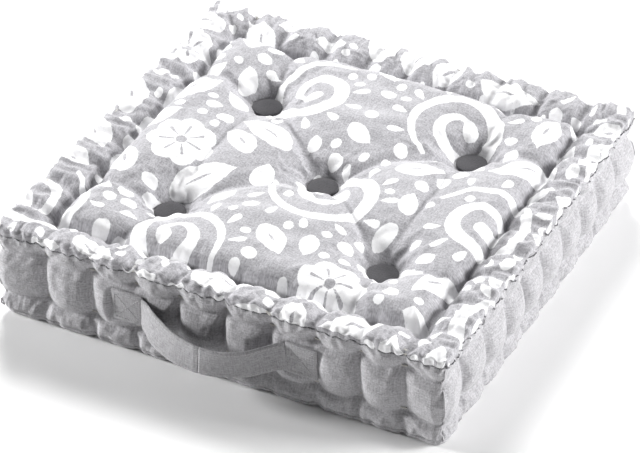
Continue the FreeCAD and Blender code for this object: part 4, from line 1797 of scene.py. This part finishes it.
@dataclass
class Studio:
    """Floor, soft lights and the camera."""

    aim: tuple[float, float, float] = (0.0096, -0.0122, 0.050)
    distance: float = 2.75
    tilt: float = 54.05
    roll: float = 0.35
    heading: float = 26.75
    lens: float = 169.06

    def add_camera(self) -> None:
        """Stand the camera where it looks down on the near corner."""
        camera = bpy.data.cameras.new("camera")
        camera.lens = self.lens
        camera.sensor_width = 36
        camera.clip_end = 20
        view = bpy.data.objects.new("camera", camera)
        bpy.context.scene.collection.objects.link(view)
        turn = Matrix.Rotation(math.radians(self.heading), 4, "Z") @ Matrix.Rotation(
            math.radians(self.roll), 4, "Y") @ Matrix.Rotation(math.radians(self.tilt), 4, "X")
        at_aim = Matrix.Translation(Vector(self.aim))
        view.matrix_world = at_aim @ turn @ Matrix.Translation((0, 0, self.distance))
        bpy.context.scene.camera = view

    def add_light(self, name: str, place: Sequence[float], size: float, power: float) -> None:
        """Hang one soft square light that faces the cushion.

        Args:
            name: Name of the light.
            place: Where it hangs.
            size: Length of its side.
            power: Its power, in watts.
        """
        light = bpy.data.lights.new(name, "AREA")
        light.size = size
        light.energy = power
        lamp = bpy.data.objects.new(name, light)
        bpy.context.scene.collection.objects.link(lamp)
        lamp.location = place
        lamp.rotation_euler = (Vector(self.aim) - Vector(place)).to_track_quat("-Z", "Y").to_euler()

    def add_floor(self) -> None:
        """Lay a plain white floor."""
        deselect()
        bpy.ops.mesh.primitive_plane_add(size=14)
        floor = bpy.context.object
        floor.name = "floor"
        recipe = Recipe("studio_floor")
        place = recipe.node("ShaderNodeTexCoord", {}, {}, "Object")
        finish = recipe.finish((0.97, 0.97, 0.97, 1), 0.9, recipe.noise(place, 40.0), 0.00005)
        floor.data.materials.append(finish)

    def build(self) -> None:
        """Make the whole studio."""
        self.add_camera()
        self.add_light("left", (-2.7, -0.8, 0.85), 0.6, 110)
        self.add_light("right", (2.6, 0.8, 1.1), 0.9, 108)
        self.add_light("above", (-1.0, 1.6, 2.0), 0.9, 76)
        world = bpy.data.worlds.new("studio")
        world.use_nodes = True
        world.node_tree.nodes["Background"].inputs[0].default_value = (1, 1, 1, 1)
        world.node_tree.nodes["Background"].inputs[1].default_value = 0.06
        bpy.context.scene.world = world
        bpy.context.scene.view_settings.view_transform = "Standard"
        self.add_floor()


def main() -> None:
    """Build the cushion piece by piece."""
    logging.basicConfig(level=logging.INFO)
    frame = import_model()
    Studio().build()
    finishes = Finishes.build()
    form = Form.from_frame()
    cover = Cover(form)
    shell = cover.build_lattice()
    cover.simulate(shell)
    panels = Panels(form, cover, finishes)
    panels.pinch(shell)
    panels.part(shell)
    Buttons(form, finishes).build(frame["nodes"])
    Stitching(form, panels, finishes).build()
    Handle(finishes).build()


if __name__ == "__main__":
    main()
